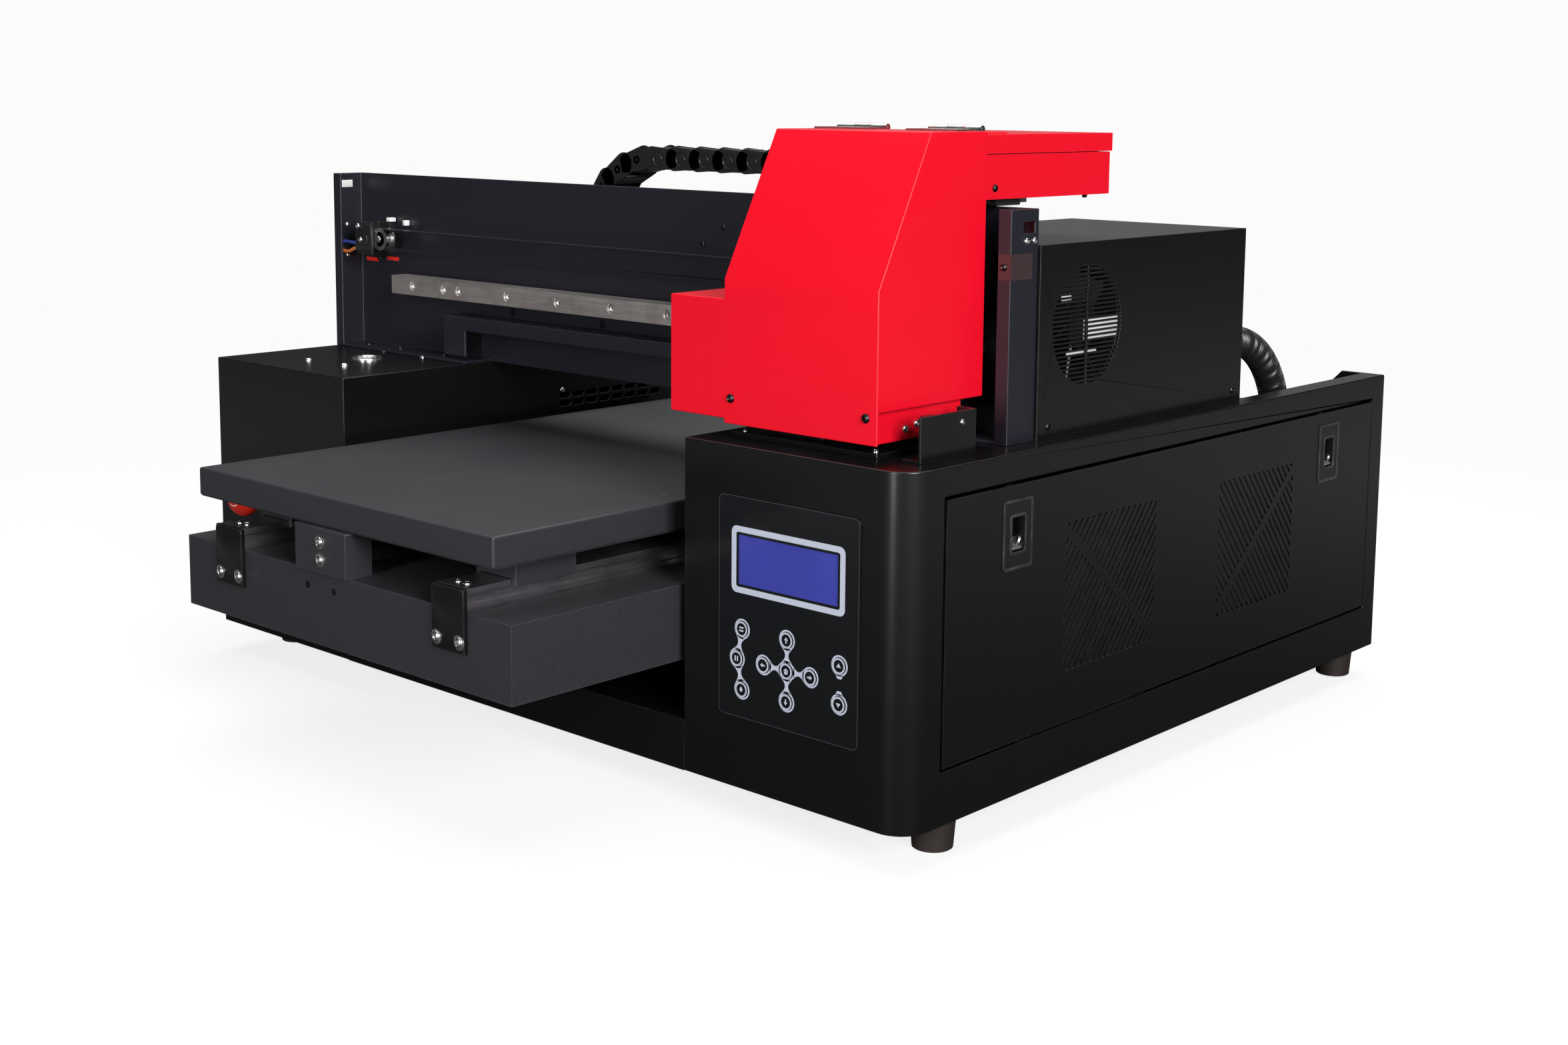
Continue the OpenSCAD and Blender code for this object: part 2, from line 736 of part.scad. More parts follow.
module power_inlet() {
    color(black) difference() {
        union() {
            slab([inlet_x[0] - 5, inlet_x[1] + 5], [y_b, y_b + rear_proud], [inlet_z[0] - 5, inlet_z[1] + 5]);
            slab([inlet_x[0] + 0.3, inlet_x[1] - 0.3], [y_b - 24, y_b], [inlet_z[0] + 0.3, inlet_z[1] - 0.3]);
        }
        difference() {
            slab([inlet_x[0] + 2, inlet_x[1] - 2], [y_b - 20, y_b + 5], [inlet_z[0] + 2, inlet_z[1] - 2]);
            for (x = [-7, 0, 7]) slab([(inlet_x[0] + inlet_x[1]) / 2 + x - 1, (inlet_x[0] + inlet_x[1]) / 2 + x + 1],
                [y_b - 21, y_b - 4], [(inlet_z[0] + inlet_z[1]) / 2 - 3, (inlet_z[0] + inlet_z[1]) / 2 + 3]);
        }
    }
}

module power_supply() {
    color(steel) slab([x_r - 78, x_r - 20], [y_f + vent_1 - 20, y_f + vent_1 + vent_w + 25],
        [z_b + sheet_t, z_deck - 55]);
}

module guide_rods() {
    color(steel) for (x = rod_x, y = rod_y) translate([x, y, z_floor]) union() {
        cylinder(h = z_rod - z_floor, r = rod_r);
        cylinder(h = 4, r = rod_r + 8);
    }
}

module lead_screw() {
    z0 = z_b + sheet_t + lift_motor_h + 1;
    color(steel) bar_z([lead_x, lead_y, z0], z_rod - z0, screw_r);
}

module capping_station() {
    x0 = cover_l - 2;
    color(black) union() {
        slab([x0, cover_r - 8], [cover_y + 10, cover_back - 6], [z_deck, z_deck + 3]);
        slab([head_x[0] + 2, head_x[1] - 2], [head_y[0] + 2, head_y[1] - 2], [z_deck + 3, z_deck + cover_lift - 4]);
    }
}

module stop_bracket() {
    x1 = cover_r + 22;
    color(black) union() {
        slab([x1 - sheet_t, x1], [y_f + 29, y_f + 83], [z_deck, z_deck + 28]);
        slab([x1 - 14, x1], [y_f + 83 - sheet_t, y_f + 83], [z_deck, z_deck + 28]);
        slab([x1 - 14, x1], [y_f + 29, y_f + 83], [z_deck, z_deck + sheet_t]);
    }
}

// ---- Bed ----

module bed_box() {
    color(charcoal) difference() {
        union() {
            difference() {
                slab([bed_l, bed_r], [bed_y, bed_back], [z_bed, z_bed_top]);
                slab([bed_l + sheet_t, bed_r - sheet_t], [bed_y + sheet_t, bed_back - sheet_t],
                    [z_bed - 1, z_bed_top - sheet_t]);
            }
            // Guide tubes for the rods and the nut tube of the lead screw.
            for (x = rod_x, y = rod_y) bar_z([x, y, z_bed - boss_drop], bed_h + boss_drop, rod_r + 4);
            bar_z([lead_x, lead_y, z_bed - boss_drop], bed_h + boss_drop, screw_r + 6);
        }
        for (x = rod_x, y = rod_y) bar_z([x, y, z_bed - boss_drop - 1], bed_h + boss_drop + 2, rod_r + run_gap);
        bar_z([lead_x, lead_y, z_bed - boss_drop - 1], bed_h + boss_drop + 2, screw_r + run_gap);
        bar_z([y_belt_x, y_drive_y, z_bed_top - sheet_t - 1], sheet_t + 2, 4);
        for (s = [-1, 1]) bar_y([y_belt_x - 4 + s * hole_pitch / 2, bed_y - 1, z_bed_top - 11], sheet_t + 2, hole_r);
    }
}

module bed_profiles() {
    color(steel) for (x = profile_x) difference() {
        slab([x - profile_w / 2, x + profile_w / 2], [bed_y, bed_back], [z_bed_top, z_bed_top + profile_h]);
        for (s = [-1, 1]) translate([x + s * profile_w / 2, 0, z_bed_top + profile_h / 2])
            slab([-2, 2], [bed_y - 1, bed_back + 1], [-3, 3]);
    }
}

module stop_plates() {
    w = profile_w + 1.5;
    color(black) for (x = profile_x)
        slab([x - w / 2, x + w / 2], [bed_y - plate_t, bed_y], [z_bed_top - 26, z_bed_top + profile_h]);
}

block_w = 56;
block_d = 21;
block_h = 29;

module belt_block() {
    color(charcoal) union() {
        difference() {
            slab([y_belt_x - block_w / 2, y_belt_x + block_w / 2], [bed_y - plate_t, bed_y - plate_t + block_d],
                [z_bed_top, z_bed_top + block_h]);
            slab([y_belt_x - pulley_r - 4, y_belt_x + pulley_r + 4], [bed_y, bed_y + block_d],
                [z_y_belt - belt_w / 2 - 1, z_y_belt + belt_w / 2 + 1]);
        }
        bar_z([y_belt_x, y_idler_y, z_y_belt - belt_w / 2 - 1], belt_w + 2, pulley_r);
    }
}

module y_belt() {
    color(rubber) translate([y_belt_x, y_idler_y, z_y_belt - belt_w / 2]) rotate([0, 0, 90])
        belt_loop(y_drive_y - y_idler_y, belt_w);
}

module y_motor() {
    color(charcoal) difference() {
        translate([y_belt_x, y_drive_y, z_bed_top - sheet_t]) motor_body(38);
        bar_z([y_belt_x, y_drive_y, z_bed_top - sheet_t - 25], 40, 2.5 + run_gap);
    }
}

module y_drive_pulley() {
    color(steel) union() {
        translate([y_belt_x, y_drive_y, z_y_belt]) pulley(0);
        bar_z([y_belt_x, y_drive_y, z_bed_top - 20], z_y_belt - z_bed_top + 20, 2.5);
    }
}

module bed_screws() {
    color(steel) {
        for (x = profile_x, s = [-1, 1])
            bar_y([x + s * 11, bed_y - plate_t - screw_head, z_bed_top - 18.6], screw_head, 3.6);
        for (z = [9, 21]) bar_y([y_belt_x, bed_y - plate_t - screw_head, z_bed_top + z], screw_head, 3.6);
    }
}

module platen() {
    color(charcoal) difference() {
        slab([bed_l + platen_inset, bed_r - platen_inset], [bed_y, bed_y + platen_l], [z_platen, z_platen_top]);
        slab([bed_l + platen_inset + sheet_t, bed_r - platen_inset - sheet_t],
            [bed_y + sheet_t, bed_y + platen_l - sheet_t], [z_platen - 1, z_platen_top - plate_t]);
    }
}

module slider_blocks() {
    w = profile_w + 2 * slide_gap;
    color(charcoal) union() {
        for (x = profile_x, y = [bed_y + 60, bed_y + platen_l - 60]) difference() {
            slab([x - w / 2 - 4, x + w / 2 + 4], [y - 25, y + 25], [z_bed_top + profile_h - 4, z_platen_top - plate_t]);
            slab([x - w / 2, x + w / 2], [y - 26, y + 26], [z_bed_top, z_bed_top + profile_h + slide_gap]);
        }
    }
}

// ---- Carriage ----

head_x = [cover_l + 24, cover_l + 66];
head_y = [cover_y + 20, cover_y + 78];
shelf_z = rail_mid - 12;
shelf_t = 4;
arm_w = 26;
arm_l = 58;

module carriage_plate() {
    color(steel) difference() {
        union() {
            // Upright plate, the shelf for head and lamp, and two arms over the gantry wall.
            slab([cover_l + 12, cover_r - 12], [plate_y, plate_y + plate_d], [z_cover + 6, z_tank - 0.5]);
            slab([cover_l - step_w + 5, cover_r - 8], [cover_y + 12, plate_y], [shelf_z, shelf_z + shelf_t]);
            for (x = [cover_l + 12, cover_r - 12 - arm_w])
                slab([x, x + arm_w], [plate_y, tank_y + arm_l], [z_wall + 1.5, z_tank]);
            // Clamp on the upper run of the belt.
            slab([clamp_x - clamp_w / 2, clamp_x + clamp_w / 2], [plate_y, belt_y + belt_w / 2 + 2],
                [belt_mid + pulley_r - 3, belt_mid + pulley_r + 5]);
            slab([cover_x - 34, cover_x + 34], [plate_y + plate_d, rail_y - 7], [rail_mid - 14, rail_mid + 14]);
        }
        slab([clamp_x - clamp_w / 2 - 1, clamp_x + clamp_w / 2 + 1], [belt_y - belt_w / 2 - 0.4, belt_y + belt_w / 2 + 10],
            [belt_mid + pulley_r - 0.4, belt_mid + pulley_r + belt_t + 0.6]);
    }
}

module bearing_block() {
    g = 0.15;
    color(steel) difference() {
        slab([cover_x - 34, cover_x + 34], [rail_y - 7, rail_y + rail_h - 3], [rail_mid - 15, rail_mid + 15]);
        slab([cover_x - 35, cover_x + 35], [rail_y - g, rail_y + rail_h], [rail_mid - rail_w / 2 - g, rail_mid + rail_w / 2 + g]);
    }
}

module print_head() {
    color([0.75, 0.75, 0.78]) union() {
        slab(head_x, head_y, [z_deck + cover_lift - 3, shelf_z]);
        slab([head_x[0] + 6, head_x[1] - 6], [head_y[0] + 8, head_y[1] - 8], [shelf_z + shelf_t, rail_mid + 20]);
    }
}

module uv_lamp() {
    color(black) slab([cover_l - step_w + 5, cover_l - 5], [cover_y + 12, cover_back - 16],
        [z_cover + 2, shelf_z]);
}

// Side outline of the carriage cover, set in by t.
module cover_plan(t) {
    slope = atan2(z_top - z_cover - cover_front_h, cover_slant);
    y0 = cover_y + t;
    zt = z_top - t;
    zb = z_cover + cover_front_h - t * tan((90 - slope) / 2);
    yt = y0 + (zt - zb) / tan(slope);
    polygon([[y0, z_cover - (t > 0 ? 1 : 0)], [y0, zb], [yt, zt],
        [cover_back + (t > 0 ? 1 : 0), zt], [cover_back + (t > 0 ? 1 : 0), z_cover - (t > 0 ? 1 : 0)]]);
}

module carriage_cover() {
    color(red) union() {
        difference() {
            wall_yz(cover_l, cover_w) cover_plan(0);
            wall_yz(cover_l + cover_t, cover_w - 2 * cover_t) cover_plan(cover_t);
            // The right side ends higher than the front, over an inset plate.
            slab([cover_r - cover_t - 1, cover_r + 1], [cover_y + cover_t, cover_back + 1], [z_cover - 1, z_cover + 20]);
            // Way through to the lamp.
            slab([cover_l - 1, cover_l + cover_t + 1], [cover_y + 10, cover_back + 1], [z_cover - 1, z_cover + step_h - 12]);
        }
        difference() {
            slab([cover_l - step_w, cover_l], [cover_y, cover_back - 10], [z_cover + 3, z_cover + step_h + 3]);
            slab([cover_l - step_w + cover_t, cover_l + 1], [cover_y + cover_t, cover_back], [z_cover - 1, z_cover + step_h + 3 - cover_t]);
        }
        slab([cover_r - 6, cover_r - 6 + cover_t], [cover_y + 6, plate_y - 2], [z_cover, z_cover + 22]);
        slab([cover_r - 6, cover_r], [cover_y + 6, plate_y - 2], [z_cover + 20, z_cover + 22]);
    }
}

module tank_box() {
    y1 = tank_y + tank_d;
    color(red) difference() {
        slab([cover_l, cover_r - 2], [tank_y, y1], [z_tank, z_tank + tank_h]);
        slab([cover_l + cover_t, cover_r - 2 - cover_t], [tank_y + cover_t, y1 - cover_t], [z_tank + cover_t, z_tank + tank_h + 1]);
        bar_x([cover_r - 5, tank_y + 10, z_tank + 7], 5, 2.5);
    }
}

tank_n = 6;

module ink_tanks() {
    p = (cover_w - 12) / tank_n;
    color([0.85, 0.86, 0.88]) for (i = [0 : tank_n - 1])
        slab([cover_l + 5 + i * p, cover_l + 3 + (i + 1) * p], [tank_y + 30, tank_y + tank_d - 8],
            [z_tank + cover_t, z_tank + tank_h - 2]);
}

hinge_x = [cover_l + 4, cover_r - 46];
leaf_t = 1.2;
knuckle_w = hinge_w / 3;

// Fixed leaves on the cover's top, with the outer knuckles and the pins.
module hinge_leaves() {
    color(steel) for (x = hinge_x) union() {
        slab([x, x + hinge_w], [cover_back - 24, cover_back - 0.5], [z_top, z_top + leaf_t]);
        for (k = [0, 2]) {
            slab([x + k * knuckle_w + 0.2, x + (k + 1) * knuckle_w - 0.2], [cover_back - 1, hinge_y], [hinge_z, hinge_z + leaf_t]);
            bar_x([x + k * knuckle_w + 0.2, hinge_y, hinge_z], knuckle_w - 0.4, hinge_r);
        }
        slab([x, x + hinge_w], [cover_back - 1.5, cover_back - 0.5], [z_top, hinge_z + leaf_t]);
        bar_x([x, hinge_y, hinge_z], hinge_w, 1.2);
    }
}

module tank_lid() {
    y1 = tank_y + tank_d + 2;
    z1 = z_lid + lid_h;
    color(red) union() {
        difference() {
            slab([cover_l - 0.5, cover_r - 1.5], [tank_y, y1], [z_lid, z1]);
            slab([cover_l - 0.5 + cover_t, cover_r - 1.5 - cover_t], [tank_y + cover_t, y1 - cover_t], [z_lid - 1, z1 - cover_t]);
        }
        slab([cover_l + 20, cover_r - 20], [y1 - 1, y1], [z_lid - 8, z_lid + 1]);
        // Moving leaves and their middle knuckles.
        for (x = hinge_x) difference() {
            union() {
                slab([x + 0.5, x + hinge_w - 0.5], [hinge_y + 3, hinge_y + 26], [z1, z1 + leaf_t]);
                slab([x + knuckle_w + 0.2, x + 2 * knuckle_w - 0.2], [hinge_y, hinge_y + 4], [z1, z1 + leaf_t]);
                bar_x([x + knuckle_w + 0.2, hinge_y, hinge_z], knuckle_w - 0.4, hinge_r);
            }
            bar_x([x + knuckle_w - 1, hinge_y, hinge_z], knuckle_w + 2, 1.2 + run_gap);
        }
    }
}

// ---- Drag chain ----

link_l = 24;

module chain_upper() {
    n = floor((chain_l - 6) / link_l);
    color(black) union() {
        slab([bend_x, cover_l], [chain_y + 2, chain_y + chain_w - 2], [chain_z - chain_h / 2 + 2, chain_z + chain_h / 2 - 2]);
        for (i = [0 : n - 1], y = [chain_y, chain_y + chain_w - 2])
            bar_y([cover_l - 14 - i * link_l, y, chain_z], 2, chain_h / 2);
    }
}

module chain_loop() {
    color(black) union() {
        translate([bend_x, chain_y + chain_w, chain_z - chain_r]) rotate([90, 0, 0]) rotate([0, 0, 90])
            rotate_extrude(angle = 180) translate([chain_r - chain_h / 2, 0]) square([chain_h, chain_w]);
        slab([bend_x, bend_x + loop_l], [chain_y, chain_y + chain_w],
            [chain_z - 2 * chain_r - chain_h / 2, chain_z - 2 * chain_r + chain_h / 2]);
    }
}

// ---- Side door ----

door_in = x_r - sheet_t;

// One field of slanted slots, broken along its other diagonal.
module vent_plan(y0, lean) {
    z0 = z_b + 70;
    n = ceil((vent_w + vent_h) / slot_pitch / 1.4142 / 2);
    intersection() {
        translate([y0, z0]) square([vent_w, vent_h]);
        translate([y0 + vent_w / 2, z0 + vent_h / 2]) rotate(lean) union() {
            for (i = [-n : n], s = [-1, 1])
                translate([s < 0 ? -vent_w : 2.5, i * slot_pitch - slot_w / 2]) square([vent_w - 2.5, slot_w]);
        }
    }
}

module side_door() {
    color(black) union() {
        difference() {
            slab([door_in, x_r], [door_y0 + door_gap, door_y1 - door_gap], [door_z0 + door_gap, door_z1 - door_gap]);
            wall_yz(door_in - 1, sheet_t + 2) vent_plan(y_f + vent_1, 50);
            wall_yz(door_in - 1, sheet_t + 2) vent_plan(y_f + vent_2, 130);
            for (y = latch_y) slab([door_in - 1, x_r + 1], [y - cup_w / 2, y + cup_w / 2], [latch_z + 8, latch_z + 8 + cup_h]);
        }
        for (y = latch_y) latch_cup(y);
        // Knuckles beside the housing's hinge posts.
        for (y = barrel_y) {
            slab([barrel_x, door_in], [y + post_w + 1, y + 2 * post_w + 1], [barrel_z, barrel_z + barrel_r]);
            bar_y([barrel_x, y + post_w + 1, barrel_z], post_w, barrel_r);
            bar_y([barrel_x, y + 1, barrel_z], post_w + 6, barrel_r / 2);
        }
    }
}

// Open-fronted cup behind the door that guides a thumb slide.
module latch_cup(y) {
    z0 = latch_z + 8;
    d = 9;
    difference() {
        slab([door_in - d, door_in], [y - cup_w / 2 - 2, y + cup_w / 2 + 2], [z0 - 2, z0 + cup_h + 2]);
        slab([door_in - d + 2, door_in + 1], [y - cup_w / 2, y + cup_w / 2], [z0, z0 + cup_h]);
        slab([door_in - d + 1, door_in + 1], [y - 3, y + 3], [z0 + cup_h - 1, z0 + cup_h + 3]);
    }
}

// Thumb slide with its bolt. It rests low, and pushed up its bolt stands behind the opening's edge.
module latch_slide(y) {
    z0 = latch_z + 8;
    g = slide_gap;
    color(steel) union() {
        slab([door_in - 7 + g, door_in - 3], [y - cup_w / 2 + g, y + cup_w / 2 - g], [z0 + 1, z0 + 8]);
        slab([door_in - 7 + g, x_r - 0.5], [y - cup_w / 2 + g, y + cup_w / 2 - g], [z0 + 1, z0 + 3]);
        slab([door_in - 7 + g, door_in - 4], [y - 3 + g, y + 3 - g], [z0 + 1, door_z1 - door_gap - 1]);
    }
}

module latch_front() { latch_slide(latch_y[0]); }
module latch_rear() { latch_slide(latch_y[1]); }

base_pan();
left_tower();
right_housing();
feet();
gantry_frame();
beam_cover();
x_rail();
drive_motors();
x_idler_bracket();
x_belt();
electronics_box();
fan_frame();
fan_rotor();
conduit();
control_panel();
lcd_module();
stop_collar();
stop_button();
power_inlet();
power_supply();
guide_rods();
lead_screw();
capping_station();
stop_bracket();
bed_box();
bed_profiles();
stop_plates();
belt_block();
y_belt();
y_motor();
bed_screws();
platen();
slider_blocks();
x_drive_pulley();
x_idler_pulley();
y_drive_pulley();
carriage_plate();
bearing_block();
print_head();
uv_lamp();
carriage_cover();
tank_box();
ink_tanks();
hinge_leaves();
chain_upper();
tank_lid();
chain_loop();
side_door();
latch_front();
latch_rear();
key_mode();
key_pause();
key_clean();
key_in();
key_left();
key_home();
key_right();
key_out();
key_up();
key_down();
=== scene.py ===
# %% [markdown]
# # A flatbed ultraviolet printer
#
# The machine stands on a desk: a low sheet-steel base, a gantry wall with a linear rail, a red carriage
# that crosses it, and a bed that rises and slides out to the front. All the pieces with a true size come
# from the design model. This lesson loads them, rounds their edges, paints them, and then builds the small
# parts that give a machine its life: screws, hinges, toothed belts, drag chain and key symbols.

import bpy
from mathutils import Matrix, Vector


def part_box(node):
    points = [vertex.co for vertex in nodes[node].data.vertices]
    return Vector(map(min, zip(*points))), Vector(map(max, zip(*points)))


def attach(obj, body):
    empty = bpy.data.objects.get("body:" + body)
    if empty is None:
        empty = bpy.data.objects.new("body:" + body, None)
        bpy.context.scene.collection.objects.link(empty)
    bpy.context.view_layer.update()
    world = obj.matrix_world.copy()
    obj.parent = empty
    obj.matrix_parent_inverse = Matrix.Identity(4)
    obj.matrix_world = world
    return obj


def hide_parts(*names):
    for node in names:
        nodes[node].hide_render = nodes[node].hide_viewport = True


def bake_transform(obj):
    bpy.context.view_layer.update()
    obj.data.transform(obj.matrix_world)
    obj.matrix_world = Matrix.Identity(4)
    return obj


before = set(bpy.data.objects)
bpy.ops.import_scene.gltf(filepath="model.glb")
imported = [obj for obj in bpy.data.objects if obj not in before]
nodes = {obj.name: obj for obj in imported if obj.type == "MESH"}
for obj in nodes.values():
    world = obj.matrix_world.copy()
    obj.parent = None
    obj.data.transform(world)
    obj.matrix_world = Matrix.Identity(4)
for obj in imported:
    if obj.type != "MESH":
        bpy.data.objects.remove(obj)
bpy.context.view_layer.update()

# %% Libraries and units
import math

import bmesh
import bpy
from mathutils import Matrix, Vector

MM = 0.001
scene = bpy.context.scene


def low(node):
    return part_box(node)[0]


def high(node):
    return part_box(node)[1]


deck_z = high("left_tower").z
wall_front = high("x_rail").y
front_y = low("left_tower").y
right_x = high("right_housing").x
print(f"deck at {deck_z * 1000:.1f} mm, gantry wall at y = {wall_front * 1000:.1f} mm")

# %% [markdown]
# ## Camera
#
# The machine is looked at from its front right, a little above the carriage. A long lens keeps the upright
# edges nearly parallel, and a small vertical lens shift keeps them upright without tilting the camera.

# %% Camera
def aim(yaw, pitch, roll):
    """World rotation of a camera that looks along +Y at yaw 0, turns left with yaw and down with pitch."""
    forward = Vector((-math.sin(yaw) * math.cos(pitch), math.cos(yaw) * math.cos(pitch),
                      -math.sin(pitch)))
    level = Vector((math.cos(yaw), math.sin(yaw), 0))
    upright = level.cross(forward)
    right = math.cos(roll) * level + math.sin(roll) * upright
    up = -math.sin(roll) * level + math.cos(roll) * upright
    return Matrix((right, up, -forward)).transposed().to_4x4()


lens = bpy.data.cameras.new("camera")
lens.sensor_width = 36
lens.lens = 45.829
lens.shift_y = -0.10
lens.clip_start = 0.05
lens.clip_end = 60
camera = bpy.data.objects.new("camera", lens)
scene.collection.objects.link(camera)
camera.matrix_world = Matrix.Translation((1.0678, -1.1093, 0.4579)) @ aim(
    math.radians(42.393), math.radians(7.694), math.radians(0.479))
scene.camera = camera
print("camera stands", round(camera.location.length, 3), "m from the machine's foot")

# %% [markdown]
# ## Floor and light
#
# A black machine is lit by what it mirrors. A large soft box on the right gives the right-hand sides their
# sheen, and a weaker one in front leaves the fronts dark, so the two read as different planes. A wide panel
# overhead draws a bright line along the rounded top edges, and a narrow strip does the same on the upright
# corner. The floor is pale to the eye and dimmer to every other ray, as if it ended close by. In reflections
# it is darker still near the machine: a painted shadow.

# %% Floor
def floor_material():
    """White paper: it glows to the eye, takes a soft shadow near the machine, and mirrors as a dim grey that
    is darker near the machine, a painted shadow.
    """
    made = bpy.data.materials.new("studio_floor")
    made.use_nodes = True
    tree = made.node_tree
    tree.nodes.clear()
    out = tree.nodes.new("ShaderNodeOutputMaterial")
    where = tree.nodes.new("ShaderNodeNewGeometry")
    away = tree.nodes.new("ShaderNodeVectorMath")
    away.operation = "LENGTH"
    tree.links.new(where.outputs["Position"], away.inputs[0])

    def graded(near, far, socket):
        """Drives a colour from one grey near the machine to another further away."""
        node = tree.nodes.new("ShaderNodeMapRange")
        node.interpolation_type = "SMOOTHSTEP"
        node.inputs["From Min"].default_value = 0.5
        node.inputs["From Max"].default_value = 1.7
        node.inputs["To Min"].default_value = near
        node.inputs["To Max"].default_value = far
        tree.links.new(away.outputs["Value"], node.inputs["Value"])
        tree.links.new(node.outputs["Result"], socket)

    glow = tree.nodes.new("ShaderNodeEmission")
    graded(0.80, 0.965, glow.inputs["Color"])
    paper = tree.nodes.new("ShaderNodeBsdfDiffuse")
    graded(0.20, 0.0, paper.inputs["Color"])
    seen = tree.nodes.new("ShaderNodeAddShader")
    # Mirrored grey, darker near the machine: a painted shadow of the machine in reflections.
    mirrored = tree.nodes.new("ShaderNodeBsdfDiffuse")
    graded(0.05, 0.24, mirrored.inputs["Color"])
    path = tree.nodes.new("ShaderNodeLightPath")
    mix = tree.nodes.new("ShaderNodeMixShader")
    tree.links.new(glow.outputs[0], seen.inputs[0])
    tree.links.new(paper.outputs[0], seen.inputs[1])
    tree.links.new(path.outputs["Is Camera Ray"], mix.inputs[0])
    tree.links.new(mirrored.outputs[0], mix.inputs[1])
    tree.links.new(seen.outputs[0], mix.inputs[2])
    tree.links.new(mix.outputs[0], out.inputs["Surface"])
    return made


def disc(name, radius, sides=96):
    mesh = bmesh.new()
    bmesh.ops.create_circle(mesh, cap_ends=True, radius=radius, segments=sides)
    data = bpy.data.meshes.new(name)
    mesh.to_mesh(data)
    mesh.free()
    made = bpy.data.objects.new(name, data)
    scene.collection.objects.link(made)
    return made


floor = disc("floor", 14)
floor.location.z = -0.0005
floor.data.materials.append(floor_material())

# %% Light
def soft_box(name, place, target, width, height, power):
    """A large rectangular lamp, turned towards a point on the machine."""
    data = bpy.data.lights.new(name, "AREA")
    data.shape = "RECTANGLE"
    data.size = width
    data.size_y = height
    data.energy = power
    made = bpy.data.objects.new(name, data)
    scene.collection.objects.link(made)
    made.location = place
    made.rotation_euler = (Vector(target) - Vector(place)).to_track_quat("-Z", "Y").to_euler()
    return made


def room(brightness, seen):
    """The room's dim grey, and the white that stands behind the machine."""
    world = bpy.data.worlds.new("studio_room")
    scene.world = world
    world.use_nodes = True
    tree = world.node_tree
    tree.nodes.clear()
    out = tree.nodes.new("ShaderNodeOutputWorld")
    grey = tree.nodes.new("ShaderNodeBackground")
    grey.inputs["Color"].default_value = (brightness, brightness, brightness * 1.04, 1)
    white = tree.nodes.new("ShaderNodeBackground")
    white.inputs["Color"].default_value = (seen, seen, seen, 1)
    path = tree.nodes.new("ShaderNodeLightPath")
    mix = tree.nodes.new("ShaderNodeMixShader")
    tree.links.new(path.outputs["Is Camera Ray"], mix.inputs[0])
    tree.links.new(grey.outputs[0], mix.inputs[1])
    tree.links.new(white.outputs[0], mix.inputs[2])
    tree.links.new(mix.outputs[0], out.inputs["Surface"])


room(0.05, 0.97)
soft_box("side_light", (3.2, -1.3, 1.4), (0.2, 0.0, 0.25), 1.3, 1.6, 148)
soft_box("front_light", (0.9, -3.2, 1.5), (0.0, 0.0, 0.25), 1.0, 1.3, 17)
soft_box("overhead_panel", (-0.5, 0.9, 2.6), (-0.5, 0.9, 0.0), 3.0, 3.4, 90)
soft_box("corner_strip", (0.42, -2.0, 0.5), (0.34, -0.2, 0.15), 0.22, 1.0, 18)
soft_box("back_panel", (-1.6, 2.6, 0.9), (0.0, 0.0, 0.3), 2.2, 1.3, 1.5)
scene.view_settings.view_transform = "Standard"
scene.cycles.use_denoising = True

# %% [markdown]
# ## Effects that several finishes share
#
# Powder coat, moulded plastic and rubber all show the same few things: a fine grain, edges painted lighter
# (part rubbed wear, part painted highlight), a little dust on faces that look up, and a gloss that isn't
# even.
# Each effect is a node group, built once, with inputs for its size and amount, and every finish places it
# with its own values.

# %% Node group tools
def new_group(name, inputs, outputs):
    """An empty shader node group with float inputs {name: value} and the named float outputs."""
    group = bpy.data.node_groups.new(name, "ShaderNodeTree")
    for socket, value in inputs.items():
        made = group.interface.new_socket(name=socket, in_out="INPUT", socket_type="NodeSocketFloat")
        made.default_value = value
    for socket in outputs:
        group.interface.new_socket(name=socket, in_out="OUTPUT", socket_type="NodeSocketFloat")
    return group, group.nodes.new("NodeGroupInput"), group.nodes.new("NodeGroupOutput")


def maths(tree, operation, a, b=None, clamp=False):
    """A Math node. An input is a socket or a number."""
    node = tree.nodes.new("ShaderNodeMath")
    node.operation = operation
    node.use_clamp = clamp
    for socket, value in zip(node.inputs, (a, b)):
        if isinstance(value, bpy.types.NodeSocket):
            tree.links.new(value, socket)
        elif value is not None:
            socket.default_value = value
    return node.outputs[0]


def noise(tree, scale, detail=2.0, rough=0.5, vector=None):
    """Fractal noise over the object, with its scale in waves per metre."""
    node = tree.nodes.new("ShaderNodeTexNoise")
    if vector is None:
        vector = tree.nodes.new("ShaderNodeTexCoord").outputs["Object"]
    tree.links.new(vector, node.inputs["Vector"])
    if isinstance(scale, bpy.types.NodeSocket):
        tree.links.new(scale, node.inputs["Scale"])
    else:
        node.inputs["Scale"].default_value = scale
    node.inputs["Detail"].default_value = detail
    node.inputs["Roughness"].default_value = rough
    return node.outputs[0]


def spread(tree, value, from_low, from_high, to_low=0.0, to_high=1.0):
    """A clamped Map Range node."""
    node = tree.nodes.new("ShaderNodeMapRange")
    tree.links.new(value, node.inputs["Value"])
    for socket, number in (("From Min", from_low), ("From Max", from_high), ("To Min", to_low),
                           ("To Max", to_high)):
        if isinstance(number, bpy.types.NodeSocket):
            tree.links.new(number, node.inputs[socket])
        else:
            node.inputs[socket].default_value = number
    return node.outputs[0]


